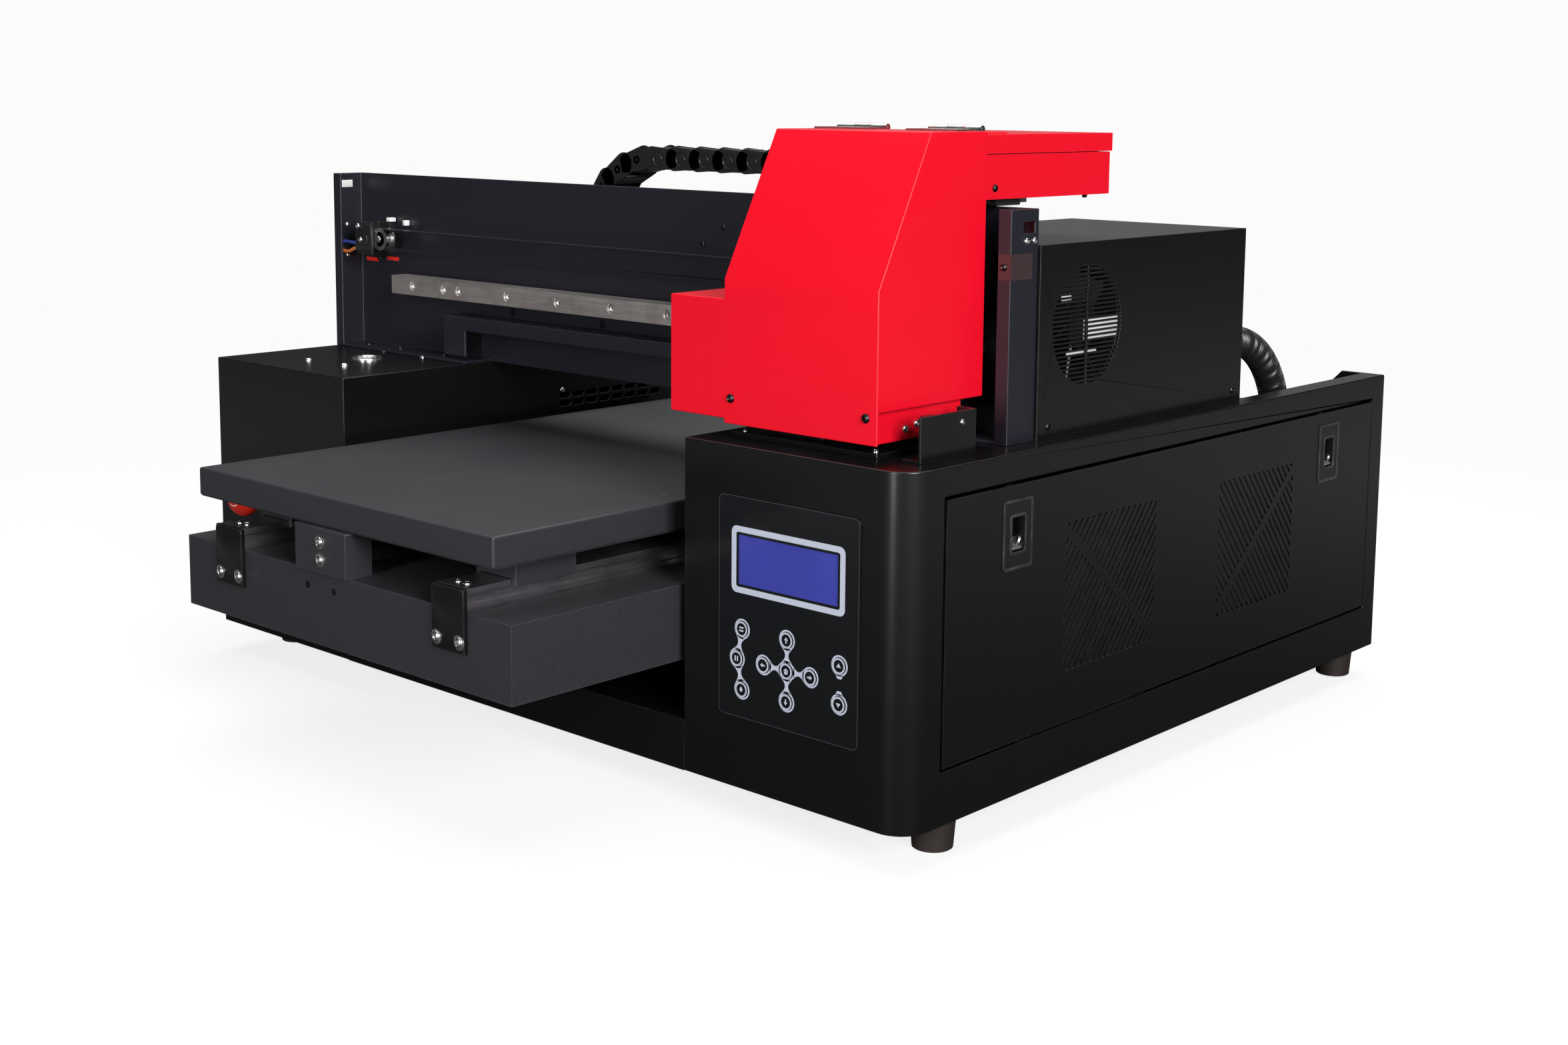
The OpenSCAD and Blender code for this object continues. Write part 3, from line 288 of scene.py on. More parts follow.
# %% Grain
def grain_group():
    """Height of a coat's surface and a mask of its light specks. Size is the grain's width in millimetres."""
    group, ins, outs = new_group("coat_grain", {"Size": 1.0, "Specks": 0.5}, ("Height", "Speck"))
    waves = maths(group, "DIVIDE", 1000.0, ins.outputs["Size"])
    fine = noise(group, waves, 2.0, 0.6)
    broad = noise(group, maths(group, "MULTIPLY", waves, 0.22), 1.0)
    height = maths(group, "ADD", maths(group, "MULTIPLY", fine, 0.7),
                   maths(group, "MULTIPLY", broad, 0.3))
    crumbs = noise(group, maths(group, "MULTIPLY", waves, 1.7), 1.0)
    speck = maths(group, "MULTIPLY", spread(group, crumbs, 0.58, 0.72), ins.outputs["Specks"])
    group.links.new(height, outs.inputs["Height"])
    group.links.new(speck, outs.inputs["Speck"])
    return group


coat_grain = grain_group()

# %% Edge wear and painted highlight
def build_wear_highlight_group():
    """Mask of edges painted lighter, part rubbed wear and part painted highlight: where a normal taken over a
    small radius leans away from the true one.
    """
    group, ins, outs = new_group("edge_wear_and_highlight", {"Amount": 0.5, "Patch": 60.0}, ("Mask",))
    bevel = group.nodes.new("ShaderNodeBevel")
    bevel.samples = 4
    bevel.inputs["Radius"].default_value = 1.1 * MM
    geometry = group.nodes.new("ShaderNodeNewGeometry")
    dot = group.nodes.new("ShaderNodeVectorMath")
    dot.operation = "DOT_PRODUCT"
    group.links.new(bevel.outputs[0], dot.inputs[0])
    group.links.new(geometry.outputs["Normal"], dot.inputs[1])
    lean = spread(group, maths(group, "SUBTRACT", 1.0, dot.outputs["Value"]), 0.015, 0.14)
    patchy = spread(group, noise(group, ins.outputs["Patch"], 4.0, 0.65), 0.36, 0.66, 0.25, 1.0)
    mask = maths(group, "MULTIPLY", maths(group, "MULTIPLY", lean, patchy), ins.outputs["Amount"],
                 clamp=True)
    group.links.new(mask, outs.inputs["Mask"])
    return group


edge_wear_and_highlight = build_wear_highlight_group()

# %% Dust and uneven gloss
def dust_group():
    """Mask of dust: faces that look up, in soft patches with fine specks."""
    group, ins, outs = new_group("settled_dust", {"Amount": 0.3}, ("Mask",))
    geometry = group.nodes.new("ShaderNodeNewGeometry")
    split = group.nodes.new("ShaderNodeSeparateXYZ")
    group.links.new(geometry.outputs["Normal"], split.inputs[0])
    up = spread(group, split.outputs["Z"], 0.75, 1.0)
    patches = spread(group, noise(group, 14.0, 5.0, 0.6), 0.42, 0.72)
    specks = spread(group, noise(group, 900.0, 1.0), 0.52, 0.70, 0.35, 1.0)
    mask = maths(group, "MULTIPLY", maths(group, "MULTIPLY", up, patches), specks)
    group.links.new(maths(group, "MULTIPLY", mask, ins.outputs["Amount"], clamp=True),
                    outs.inputs["Mask"])
    return group


def gloss_group():
    """Roughness that drifts over a hand's width, with faint wiped streaks. Base is the clean value."""
    group, ins, outs = new_group("uneven_gloss", {"Base": 0.35, "Drift": 0.06}, ("Roughness",))
    coords = group.nodes.new("ShaderNodeTexCoord")
    stretch = group.nodes.new("ShaderNodeMapping")
    stretch.inputs["Scale"].default_value = (9.0, 9.0, 55.0)
    stretch.inputs["Rotation"].default_value = (0.5, 0.3, 0.4)
    group.links.new(coords.outputs["Object"], stretch.inputs["Vector"])
    streak = noise(group, 1.0, 3.0, 0.55, stretch.outputs[0])
    cloud = noise(group, 11.0, 3.0, 0.5)
    both = maths(group, "SUBTRACT", maths(group, "ADD", streak, cloud), 1.0)
    rough = maths(group, "ADD", ins.outputs["Base"], maths(group, "MULTIPLY", both, ins.outputs["Drift"]),
                  clamp=True)
    group.links.new(rough, outs.inputs["Roughness"])
    return group


settled_dust = dust_group()
uneven_gloss = gloss_group()
print("node groups:", sorted(g.name for g in bpy.data.node_groups))

# %% [markdown]
# ## Painted steel
#
# Nearly every panel is folded steel with a baked powder coat. The finish is built in layers: a base colour
# with light specks, a lighter colour along the edges that is part rubbed wear and part painted highlight, a
# film of dust on top, uneven gloss, and a bump from the grain. What differs between the black base, the
# charcoal bed, the dark blue gantry and the red carriage is only the values.

# %% Finish tools
def place(tree, group, **values):
    """Places a node group in a material and sets its inputs."""
    node = tree.nodes.new("ShaderNodeGroup")
    node.node_tree = group
    for socket, value in values.items():
        node.inputs[socket].default_value = value
    return node


def blend_colour(tree, mask, under, over):
    """Mixes two colours by a mask. Each is a socket or three numbers."""
    node = tree.nodes.new("ShaderNodeMix")
    node.data_type = "RGBA"
    tree.links.new(mask, node.inputs["Factor"])
    for socket, colour in ((node.inputs[6], under), (node.inputs[7], over)):
        if isinstance(colour, bpy.types.NodeSocket):
            tree.links.new(colour, socket)
        else:
            socket.default_value = (*colour, 1)
    return node.outputs[2]


def new_finish(name):
    """A node material with its shader."""
    made = bpy.data.materials.new(name)
    made.use_nodes = True
    return made, made.node_tree, made.node_tree.nodes["Principled BSDF"]


def bump(tree, shader, height, depth):
    """Feeds a height in millimetres to the shader's normal."""
    node = tree.nodes.new("ShaderNodeBump")
    node.inputs["Strength"].default_value = 1.0
    node.inputs["Distance"].default_value = depth * MM
    tree.links.new(height, node.inputs["Height"])
    tree.links.new(node.outputs[0], shader.inputs["Normal"])


def powder_coat(name, colour, speck, edge_colour_worn_lit, rough, drift=0.05, size=0.9, depth=0.02, specks=0.4,
                edge_amount_worn_lit=0.4, dust=0.15, specular=0.5):
    """Powder coat on steel: colour, speck colour, lighter edge colour (part rubbed wear, part painted
    highlight), roughness, and its grain.
    """
    made, tree, shader = new_finish(name)
    grain = place(tree, coat_grain, Size=size, Specks=specks)
    edges = place(tree, edge_wear_and_highlight, Amount=edge_amount_worn_lit)
    film = place(tree, settled_dust, Amount=dust)
    gloss = place(tree, uneven_gloss, Base=rough, Drift=drift)
    coat = blend_colour(tree, grain.outputs["Speck"], colour, speck)
    # Lighter edges: part rubbed wear, part a painted highlight along the edges.
    coat = blend_colour(tree, edges.outputs["Mask"], coat, edge_colour_worn_lit)
    coat = blend_colour(tree, film.outputs["Mask"], coat, (0.22, 0.21, 0.20))
    tree.links.new(coat, shader.inputs["Base Color"])
    dull = maths(tree, "MULTIPLY", film.outputs["Mask"], 0.6)
    tree.links.new(maths(tree, "ADD", gloss.outputs["Roughness"], dull, clamp=True),
                   shader.inputs["Roughness"])
    shader.inputs["Specular IOR Level"].default_value = specular
    bump(tree, shader, grain.outputs["Height"], depth)
    return made


# %% Painted steel
base_black = powder_coat("base_black_coat", (0.0034, 0.0034, 0.0036), (0.0080, 0.0080, 0.0085),
                         (0.085, 0.085, 0.088), 0.25, drift=0.05, size=0.7, depth=0.010, specks=0.5,
                         edge_amount_worn_lit=0.35,
                         dust=0.04)
bed_charcoal = powder_coat("bed_charcoal_coat", (0.0165, 0.018, 0.021), (0.075, 0.080, 0.088),
                           (0.12, 0.125, 0.135), 0.48, size=0.55, depth=0.06, specks=0.65, edge_amount_worn_lit=0.45,
                           dust=0.05)
gantry_navy = powder_coat("gantry_navy_coat", (0.0100, 0.0105, 0.0160), (0.020, 0.021, 0.032),
                          (0.075, 0.080, 0.100), 0.38, size=0.8, depth=0.012, edge_amount_worn_lit=0.40, dust=0.04)
cover_red = powder_coat("cover_red_coat", (0.70, 0.0032, 0.0160), (0.78, 0.010, 0.030),
                        (0.86, 0.10, 0.11),
                        0.36, drift=0.06, size=0.8, depth=0.010, specks=0.10, edge_amount_worn_lit=0.20, dust=0.03,
                        specular=0.3)
print("painted steel: black, charcoal, navy and red")

# %% [markdown]
# ## Metals
#
# Bare metals differ by how they were made. A ground rail has fine lines along its length and picks up the
# colours around it, drawn aluminium is softer and duller, and zinc-plated screws are bright with darker
# recesses. One function builds them from a colour, a roughness and the direction of the lines.

# %% Metals
def bare_metal(name, colour, dark, rough, lines=(40.0, 900.0, 900.0), depth=0.004, cloud=0.5):
    """Bare metal with lines along the axis that has the smallest number in lines."""
    made, tree, shader = new_finish(name)
    coords = tree.nodes.new("ShaderNodeTexCoord")
    stretch = tree.nodes.new("ShaderNodeMapping")
    stretch.inputs["Scale"].default_value = lines
    tree.links.new(coords.outputs["Object"], stretch.inputs["Vector"])
    drawn = noise(tree, 1.0, 3.0, 0.6, stretch.outputs[0])
    stain = spread(tree, noise(tree, 55.0, 4.0, 0.6), 0.45, 0.75, 0.0, cloud)
    tree.links.new(blend_colour(tree, stain, colour, dark), shader.inputs["Base Color"])
    shader.inputs["Metallic"].default_value = 1.0
    gloss = place(tree, uneven_gloss, Base=rough, Drift=0.10)
    scratched = maths(tree, "MULTIPLY", maths(tree, "SUBTRACT", drawn, 0.5), 0.25)
    tree.links.new(maths(tree, "ADD", gloss.outputs[0], scratched, clamp=True),
                   shader.inputs["Roughness"])
    bump(tree, shader, drawn, depth)
    return made


rail_steel = bare_metal("rail_ground_steel", (0.86, 0.80, 0.77), (0.50, 0.40, 0.40), 0.42)
zinc = bare_metal("zinc_plated_steel", (0.78, 0.78, 0.77), (0.45, 0.45, 0.45), 0.24,
                  (300.0, 300.0, 300.0), 0.002)
aluminium = bare_metal("drawn_aluminium", (0.42, 0.42, 0.43), (0.22, 0.22, 0.23), 0.34,
                       (900.0, 30.0, 900.0))
galvanised = bare_metal("galvanised_sheet", (0.70, 0.71, 0.72), (0.40, 0.41, 0.43), 0.38,
                        (60.0, 60.0, 60.0), 0.01, 0.8)
dark_screw = bare_metal("blackened_screw_steel", (0.055, 0.055, 0.058), (0.02, 0.02, 0.02), 0.30,
                        (300.0,) * 3, 0.002)

# %% [markdown]
# ## Plastics and rubber
#
# Moulded plastic has a soft sheen and no lines. Its grain is finer than a powder coat's, and its edges, part
# rubbed wear and part painted highlight, are only a little paler. Rubber is duller still and takes dust. The
# control panel is a glossy film.

# %% Plastics and rubber
def moulded(name, colour, rough, size=0.5, depth=0.006, edge_amount_worn_lit=0.15, dust=0.1, coat=0.0):
    """Moulded plastic or rubber, with an optional clear layer."""
    # pale: the edge colour, part rubbed wear and part painted highlight.
    pale = tuple(min(1.0, c * 2.2 + 0.01) for c in colour)
    made = powder_coat(name, colour, tuple(c * 1.3 for c in colour), pale, rough, 0.05, size, depth,
                       0.3, edge_amount_worn_lit, dust)
    shader = made.node_tree.nodes["Principled BSDF"]
    shader.inputs["Coat Weight"].default_value = coat
    shader.inputs["Coat Roughness"].default_value = 0.06
    return made


black_plastic = moulded("black_moulded_plastic", (0.010, 0.010, 0.011), 0.36)
rubber = moulded("foot_rubber", (0.022, 0.016, 0.014), 0.55, size=0.9, depth=0.02, dust=0.2)
belt_rubber = moulded("belt_rubber", (0.008, 0.008, 0.009), 0.42)
# The film's strong edge mask paints a pale rim: part rubbed wear, part painted highlight.
panel_film = moulded("panel_film", (0.0045, 0.0050, 0.0060), 0.20, depth=0.002, edge_amount_worn_lit=0.5, dust=0.0,
                     coat=0.3)
print_grey = moulded("printed_grey_ink", (0.44, 0.47, 0.56), 0.38, depth=0.002, edge_amount_worn_lit=0.0, dust=0.0)
white_label = moulded("white_label", (0.72, 0.72, 0.70), 0.50, depth=0.002, edge_amount_worn_lit=0.0)
red_plastic = moulded("red_moulded_plastic", (0.62, 0.018, 0.010), 0.28, coat=0.3)
yellow_plastic = moulded("yellow_moulded_plastic", (0.70, 0.42, 0.02), 0.35)
ink_plastic = moulded("tank_plastic", (0.55, 0.56, 0.58), 0.42)
blue_cable = moulded("blue_cable_sleeve", (0.02, 0.05, 0.30), 0.40, edge_amount_worn_lit=0.0)
orange_cable = moulded("orange_cable_sleeve", (0.60, 0.16, 0.03), 0.40, edge_amount_worn_lit=0.0)
# Two copies of one mat: the pale one is painted light seen through the front vent, the dark one is painted
# shade behind the rear vent.
pale_mat_painted_light = moulded("filter_mat", (0.60, 0.60, 0.59), 0.75, size=0.5, depth=0.05, edge_amount_worn_lit=0.0, dust=0.0)
dark_mat_painted_shade = moulded("filter_mat_painted_shade", (0.10, 0.10, 0.10), 0.75, size=0.5, depth=0.05, edge_amount_worn_lit=0.0,
                      dust=0.0)
# The bezels' strong edge mask paints pale rims: part rubbed wear, part painted highlight.
bezel_black = powder_coat("bezel_black_coat", (0.0065, 0.0065, 0.0068), (0.011, 0.011, 0.012),
                          (0.16, 0.16, 0.165), 0.30, size=0.5, depth=0.006, edge_amount_worn_lit=0.7, dust=0.03)
head_blue = moulded("print_head_blue", (0.02, 0.03, 0.10), 0.35)


def display_material():
    """The display's window: backlit indigo whose tone drifts in soft patches, with faint cell rows."""
    made, tree, shader = new_finish("lcd_window")
    coords = tree.nodes.new("ShaderNodeTexCoord")
    wave = tree.nodes.new("ShaderNodeTexWave")
    wave.bands_direction = "Z"
    wave.inputs["Scale"].default_value = 95.0
    tree.links.new(coords.outputs["Object"], wave.inputs["Vector"])
    rows = spread(tree, wave.outputs["Fac"], 0.0, 0.25, 0.8, 0.0)
    tone = blend_colour(tree, noise(tree, 25.0, 2.0), (0.024, 0.030, 0.185), (0.034, 0.040, 0.250))
    tree.links.new(blend_colour(tree, maths(tree, "MULTIPLY", rows, 0.2), tone, (0.020, 0.022, 0.14)),
                   shader.inputs["Base Color"])
    tree.links.new(tone, shader.inputs["Emission Color"])
    shader.inputs["Emission Strength"].default_value = 0.38
    gloss = place(tree, uneven_gloss, Base=0.16, Drift=0.04)
    tree.links.new(gloss.outputs[0], shader.inputs["Roughness"])
    return made


lcd_window = display_material()
print(len(bpy.data.materials), "finishes")

# %% [markdown]
# ## Painting the design nodes
#
# Each design node takes one finish. The sheet-metal nodes also get rounded edges: folded steel has a small
# radius along every bend, and it is that radius that catches the light. Modifiers do it, so the mesh that
# the design gave stays as it is: weld the corners, dissolve the flat triangles, bevel what stays sharp, and
# weight the normals towards the large faces. A panel with many slots keeps its triangles, because one huge
# face with a hundred holes doesn't shade well.

# %% Paint the nodes
def paint(material, *names):
    for name in names:
        slots = nodes[name].data.materials
        slots.clear()
        slots.append(material)


paint(base_black, "base_pan", "left_tower", "right_housing", "electronics_box", "side_door",
      "stop_bracket",
      "stop_plates", "capping_station", "power_inlet")
paint(bed_charcoal, "bed_box", "platen", "belt_block", "slider_blocks")
paint(gantry_navy, "gantry_frame", "beam_cover")
paint(cover_red, "carriage_cover", "tank_box", "tank_lid")
paint(rail_steel, "x_rail")
paint(zinc, "hinge_leaves", "lead_screw", "guide_rods", "latch_front", "latch_rear", "x_drive_pulley",
      "x_idler_pulley", "y_drive_pulley", "bearing_block", "bed_screws")
paint(aluminium, "bed_profiles", "carriage_plate")
paint(galvanised, "power_supply")
paint(black_plastic, "drive_motors", "y_motor", "fan_frame", "fan_rotor", "uv_lamp", "x_idler_bracket",
      "conduit", "chain_upper", "chain_loop")
paint(rubber, "feet")
paint(belt_rubber, "x_belt", "y_belt")
paint(panel_film, "control_panel", *[name for name in nodes if name.startswith("key_")])
paint(lcd_window, "lcd_module")
paint(red_plastic, "stop_button")
paint(yellow_plastic, "stop_collar")
paint(ink_plastic, "ink_tanks")
paint(head_blue, "print_head")
assert all(node.data.materials for node in nodes.values())
print("painted", len(nodes), "nodes")

# %% Round the edges
def soften(node, radius, segments=3, angle=32, dissolve=True):
    """Rounds the sharp edges of a design node with modifiers alone."""
    made = nodes[node]
    weld = made.modifiers.new("weld", "WELD")
    weld.merge_threshold = 0.00002
    if dissolve:
        flat = made.modifiers.new("flat", "DECIMATE")
        flat.decimate_type = "DISSOLVE"
        flat.angle_limit = math.radians(0.4)
    bevel = made.modifiers.new("bevel", "BEVEL")
    bevel.width = radius
    bevel.segments = segments
    bevel.limit_method = "ANGLE"
    bevel.angle_limit = math.radians(angle)
    bevel.miter_outer = "MITER_ARC"
    weighted = made.modifiers.new("weighted", "WEIGHTED_NORMAL")
    weighted.keep_sharp = False
    weighted.weight = 60
    for polygon in made.data.polygons:
        polygon.use_smooth = True


for name, radius in {"right_housing": 1.8, "platen": 1.6, "bed_box": 1.6, "carriage_cover": 0.9,
                     "tank_box": 0.9, "tank_lid": 0.9, "stop_bracket": 0.5, "gantry_frame": 0.6,
                     "beam_cover": 0.6, "base_pan": 0.5, "belt_block": 0.8, "stop_plates": 0.6,
                     "uv_lamp": 0.8, "power_supply": 0.8, "capping_station": 0.6, "x_idler_bracket": 0.5,
                     "bearing_block": 0.5, "carriage_plate": 0.5, "slider_blocks": 0.6,
                     "ink_tanks": 1.5, "print_head": 1.0, "drive_motors": 0.8, "y_motor": 0.8}.items():
    soften(name, radius * MM)
for name, radius in {"side_door": 0.35, "left_tower": 0.9, "electronics_box": 0.35, "power_inlet": 0.5,
                     "fan_frame": 0.5, "fan_rotor": 0.2, "bed_profiles": 0.3, "control_panel": 0.15,
                     "latch_front": 0.3, "latch_rear": 0.3, "x_rail": 0.4}.items():
    soften(name, radius * MM, segments=2, dissolve=False)
print("rounded", sum(bool(n.modifiers) for n in nodes.values()), "nodes")

# %% [markdown]
# ## Tools for making pieces
#
# The small parts are turned, bent, cut from sheet or swept along a path, and a few functions cover all of
# them. Each one adds its shape to a bmesh, so a piece can be built from several shapes before it becomes an
# object. The last function turns a bmesh into a piece: shaded smooth with crisp edges, given a finish, and
# set to ride on the body that it belongs to.

# %% Shapes
X, Y, Z = Vector((1, 0, 0)), Vector((0, 1, 0)), Vector((0, 0, 1))


def at(point, axis=Z, turn=0.0):
    """A matrix that stands a shape on a point, with its own Z along an axis."""
    lean = Z.rotation_difference(Vector(axis)).to_matrix().to_4x4()
    return Matrix.Translation(point) @ lean @ Matrix.Rotation(turn, 4, "Z")


def lathe(mesh, profile, where, sides=32):
    """Turns (radius, height) pairs round the Z axis of a matrix. An end at radius 0 closes to a point."""
    rings = []
    for radius, height in profile:
        if radius < 1e-7:
            rings.append([mesh.verts.new(where @ Vector((0, 0, height)))])
        else:
            angles = [2 * math.pi * i / sides for i in range(sides)]
            rings.append([mesh.verts.new(where @ Vector((radius * math.cos(a), radius * math.sin(a),
                                                         height)))
                          for a in angles])
    for under, over in zip(rings, rings[1:]):
        for i in range(max(len(under), len(over))):
            j = (i + 1) % sides
            corners = [under[i], under[j]] if len(under) > 1 else [under[0]]
            corners += [over[j], over[i]] if len(over) > 1 else [over[0]]
            mesh.faces.new(corners)
    for ring, flip in ((rings[0], True), (rings[-1], False)):
        if len(ring) > 1:
            mesh.faces.new(ring[::-1] if flip else ring)


def outline_box(width, height, radius, steps=5):
    """A rectangle about the origin with rounded corners, as a list of points."""
    points = []
    for k, (sx, sy) in enumerate(((1, 1), (-1, 1), (-1, -1), (1, -1))):
        for i in range(steps + 1):
            a = math.pi / 2 * (k + i / steps)
            points.append((sx * (width / 2 - radius) + radius * math.cos(a),
                           sy * (height / 2 - radius) + radius * math.sin(a)))
    return points


def plate(mesh, outline, thickness, where, round_over=0.0):
    """Extrudes an outline along the Z axis of a matrix, with its upper edge rounded over."""
    bottom = [mesh.verts.new(where @ Vector((x, y, 0))) for x, y in outline]
    top = [mesh.verts.new(where @ Vector((x, y, thickness))) for x, y in outline]
    mesh.faces.new(bottom[::-1])
    lid = mesh.faces.new(top)
    count = len(outline)
    for i in range(count):
        j = (i + 1) % count
        mesh.faces.new((bottom[i], bottom[j], top[j], top[i]))
    if round_over > 0:
        bmesh.ops.bevel(mesh, geom=list(lid.edges), offset=round_over, segments=2, affect="EDGES",
                        profile=0.5,
                        clamp_overlap=True)


def frame_plate(mesh, outer, inner, thickness, where):
    """A flat ring between two outlines that have the same number of points."""
    rows = [[mesh.verts.new(where @ Vector((x, y, z))) for x, y in outline]
            for z in (0, thickness) for outline in (outer, inner)]
    count = len(outer)
    for i in range(count):
        j = (i + 1) % count
        mesh.faces.new((rows[2][i], rows[2][j], rows[3][j], rows[3][i]))
        mesh.faces.new((rows[0][j], rows[0][i], rows[1][i], rows[1][j]))
        mesh.faces.new((rows[0][i], rows[0][j], rows[2][j], rows[2][i]))
        mesh.faces.new((rows[1][j], rows[1][i], rows[3][i], rows[3][j]))


def block(mesh, corner_a, corner_b, edge=0.3 * MM):
    """A box between two corners with bevelled edges."""
    a, b = Vector(corner_a), Vector(corner_b)
    size = b - a
    made = bmesh.ops.create_cube(mesh, size=1.0,
                                 matrix=Matrix.Translation((a + b) / 2) @ Matrix.Diagonal((*size, 1)))
    edges = {e for v in made["verts"] for e in v.link_edges}
    if edge > 0:
        bmesh.ops.bevel(mesh, geom=list(edges), offset=edge, segments=2, affect="EDGES", profile=0.5,
                        clamp_overlap=True)


def sweep(mesh, points, radius_at, sides=12, close=True):
    """A tube along points. radius_at(distance) gives its radius."""
    points = [Vector(p) for p in points]
    side = (points[1] - points[0]).orthogonal().normalized()
    rings, run = [], 0.0
    for i, point in enumerate(points):
        before, after = points[max(i - 1, 0)], points[min(i + 1, len(points) - 1)]
        along = (after - before).normalized()
        side = (side - along * side.dot(along)).normalized()
        other = along.cross(side)
        run += (point - before).length
        r = radius_at(run)
        rings.append([mesh.verts.new(point + r * (side * math.cos(a) + other * math.sin(a)))
                      for a in [2 * math.pi * k / sides for k in range(sides)]])
    for one, two in zip(rings, rings[1:]):
        for k in range(sides):
            j = (k + 1) % sides
            mesh.faces.new((one[k], one[j], two[j], two[k]))
    if close:
        mesh.faces.new(rings[0][::-1])
        mesh.faces.new(rings[-1])


def smooth_path(points, steps=8):
    """Points along a smooth curve through the given ones."""
    points = [Vector(p) for p in points]
    ends = [2 * points[0] - points[1], *points, 2 * points[-1] - points[-2]]
    path = []
    for a, b, c, d in zip(ends, ends[1:], ends[2:], ends[3:]):
        for i in range(steps):
            t = i / steps
            path.append(0.5 * (2 * b + (c - a) * t + (2 * a - 5 * b + 4 * c - d) * t * t
                               + (3 * b - a - 3 * c + d) * t ** 3))
    return [*path, points[-1]]


# %% From a bmesh to a piece
def piece(name, mesh, finish, body, crisp=32, parent=True):
    """Makes an object of a bmesh, with its finish, slot and body."""
    bmesh.ops.recalc_face_normals(mesh, faces=mesh.faces[:])
    data = bpy.data.meshes.new(name)
    mesh.to_mesh(data)
    mesh.free()
    for polygon in data.polygons:
        polygon.use_smooth = True
    data.set_sharp_from_angle(angle=math.radians(crisp))
    made = bpy.data.objects.new(name, data)
    scene.collection.objects.link(made)
    data.materials.append(finish)
    if parent:
        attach(made, body)
    return made


print("shape tools are ready")

# %% [markdown]
# ## Screws
#
# The machine is held together by pan-head screws with a cross recess. One head is made carefully: a turned
# dome with a washer face, and a recess cut by a Boolean with a tapered cross. Its mesh is then copied to
# every place where a screw shows, each turned to a different angle, as a hand would leave them.

# %% One screw head
def cross_cutter(mesh, reach, width, depth, top):
    """Two crossed tapered bars, pointing down from the top of a head."""
    for turn in (0, math.pi / 2):
        spin = Matrix.Rotation(turn, 4, "Z")
        corners = [(sx * reach * k, sy * width * k, z) for k, z in ((1.0, top), (0.45, top - depth))
                   for sx, sy in ((-1, -1), (1, -1), (1, 1), (-1, 1))]
        verts = [mesh.verts.new(spin @ Vector(c)) for c in corners]
        mesh.faces.new(verts[3::-1])
        mesh.faces.new(verts[4:])
        for i in range(4):
            j = (i + 1) % 4
            mesh.faces.new((verts[i], verts[j], verts[4 + j], verts[4 + i]))
        bmesh.ops.recalc_face_normals(mesh, faces=mesh.faces[:])


def screw_template(countersunk=False):
    """Mesh data of a head of radius 1 that sits on the XY plane, with its cross recess cut."""
    dome = [(0.0, 0.62), (0.30, 0.61), (0.55, 0.56), (0.78, 0.45), (0.93, 0.28), (1.0, 0.10), (1.0, 0.0)]
    sunk = [(0.0, 0.02), (0.80, 0.02), (0.90, 0.0), (0.90, -0.05), (0.55, -0.45)]
    shape = bmesh.new()
    lathe(shape, (sunk if countersunk else dome)[::-1], Matrix.Identity(4), 28)
    bmesh.ops.recalc_face_normals(shape, faces=shape.faces[:])
    made = []
    for name, mesh in (("screw_shape", shape), ("screw_cross", bmesh.new())):
        if name == "screw_cross":
            cross_cutter(mesh, 0.56, 0.13, 0.42, 0.06 if countersunk else 0.66)
        data = bpy.data.meshes.new(name)
        mesh.to_mesh(data)
        mesh.free()
        made.append(bpy.data.objects.new(name, data))
        scene.collection.objects.link(made[-1])
    head, cutter = made
    cut = head.modifiers.new("recess", "BOOLEAN")
    cut.operation = "DIFFERENCE"
    cut.solver = "EXACT"
    cut.use_self = True
    cut.object = cutter
    depsgraph = bpy.context.evaluated_depsgraph_get()
    result = bpy.data.meshes.new_from_object(head.evaluated_get(depsgraph))
    for spare in made:
        bpy.data.objects.remove(spare)
    return result


pan_head = screw_template()
sunk_head = screw_template(countersunk=True)
print("screw head:", len(pan_head.polygons), "faces")


# %% Sets of screws
def screws(name, places, radius, finish, body, template=None):
    """One piece with a head at every (point, direction) pair."""
    mesh = bmesh.new()
    for i, (point, axis) in enumerate(places):
        first = len(mesh.verts)
        mesh.from_mesh(template or pan_head)
        mesh.verts.ensure_lookup_table()
        where = at(point, axis, 2.4 * i + 0.3) @ Matrix.Diagonal((radius, radius, radius, 1))
        bmesh.ops.transform(mesh, matrix=where, verts=mesh.verts[first:])
    return piece(name, mesh, finish, body, crisp=28)

# %% [markdown]
# ## Feet
#
# Four tapered rubber feet carry the base. Each is turned in one go: a flange against the pan, a waist, and a
# foot that spreads slightly where the weight presses it on the desk.

# %% Feet
foot_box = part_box("feet")
foot_h = foot_box[1].z
foot_r = 15 * MM
mesh = bmesh.new()
for x in (foot_box[0].x + foot_r, foot_box[1].x - foot_r):
    for y in (foot_box[0].y + foot_r, foot_box[1].y - foot_r):
        lathe(mesh,
              [(0.0, 2.5 * MM), (6 * MM, 2.5 * MM), (6.6 * MM, 0.3 * MM), (7 * MM, 0.0), (12.2 * MM, 0.0),
                     (12.9 * MM, 0.5 * MM), (13.0 * MM, 1.6 * MM), (14.4 * MM, foot_h - 4.2 * MM),
                     (14.9 * MM, foot_h - 3.8 * MM), (15.0 * MM, foot_h - 0.8 * MM), (14.6 * MM, foot_h)],
              at((x, y, 0)), 40)
feet = piece("rubber_feet", mesh, rubber, "frame")
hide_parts("feet")
print("feet:", round(foot_h * 1000, 1), "mm high")
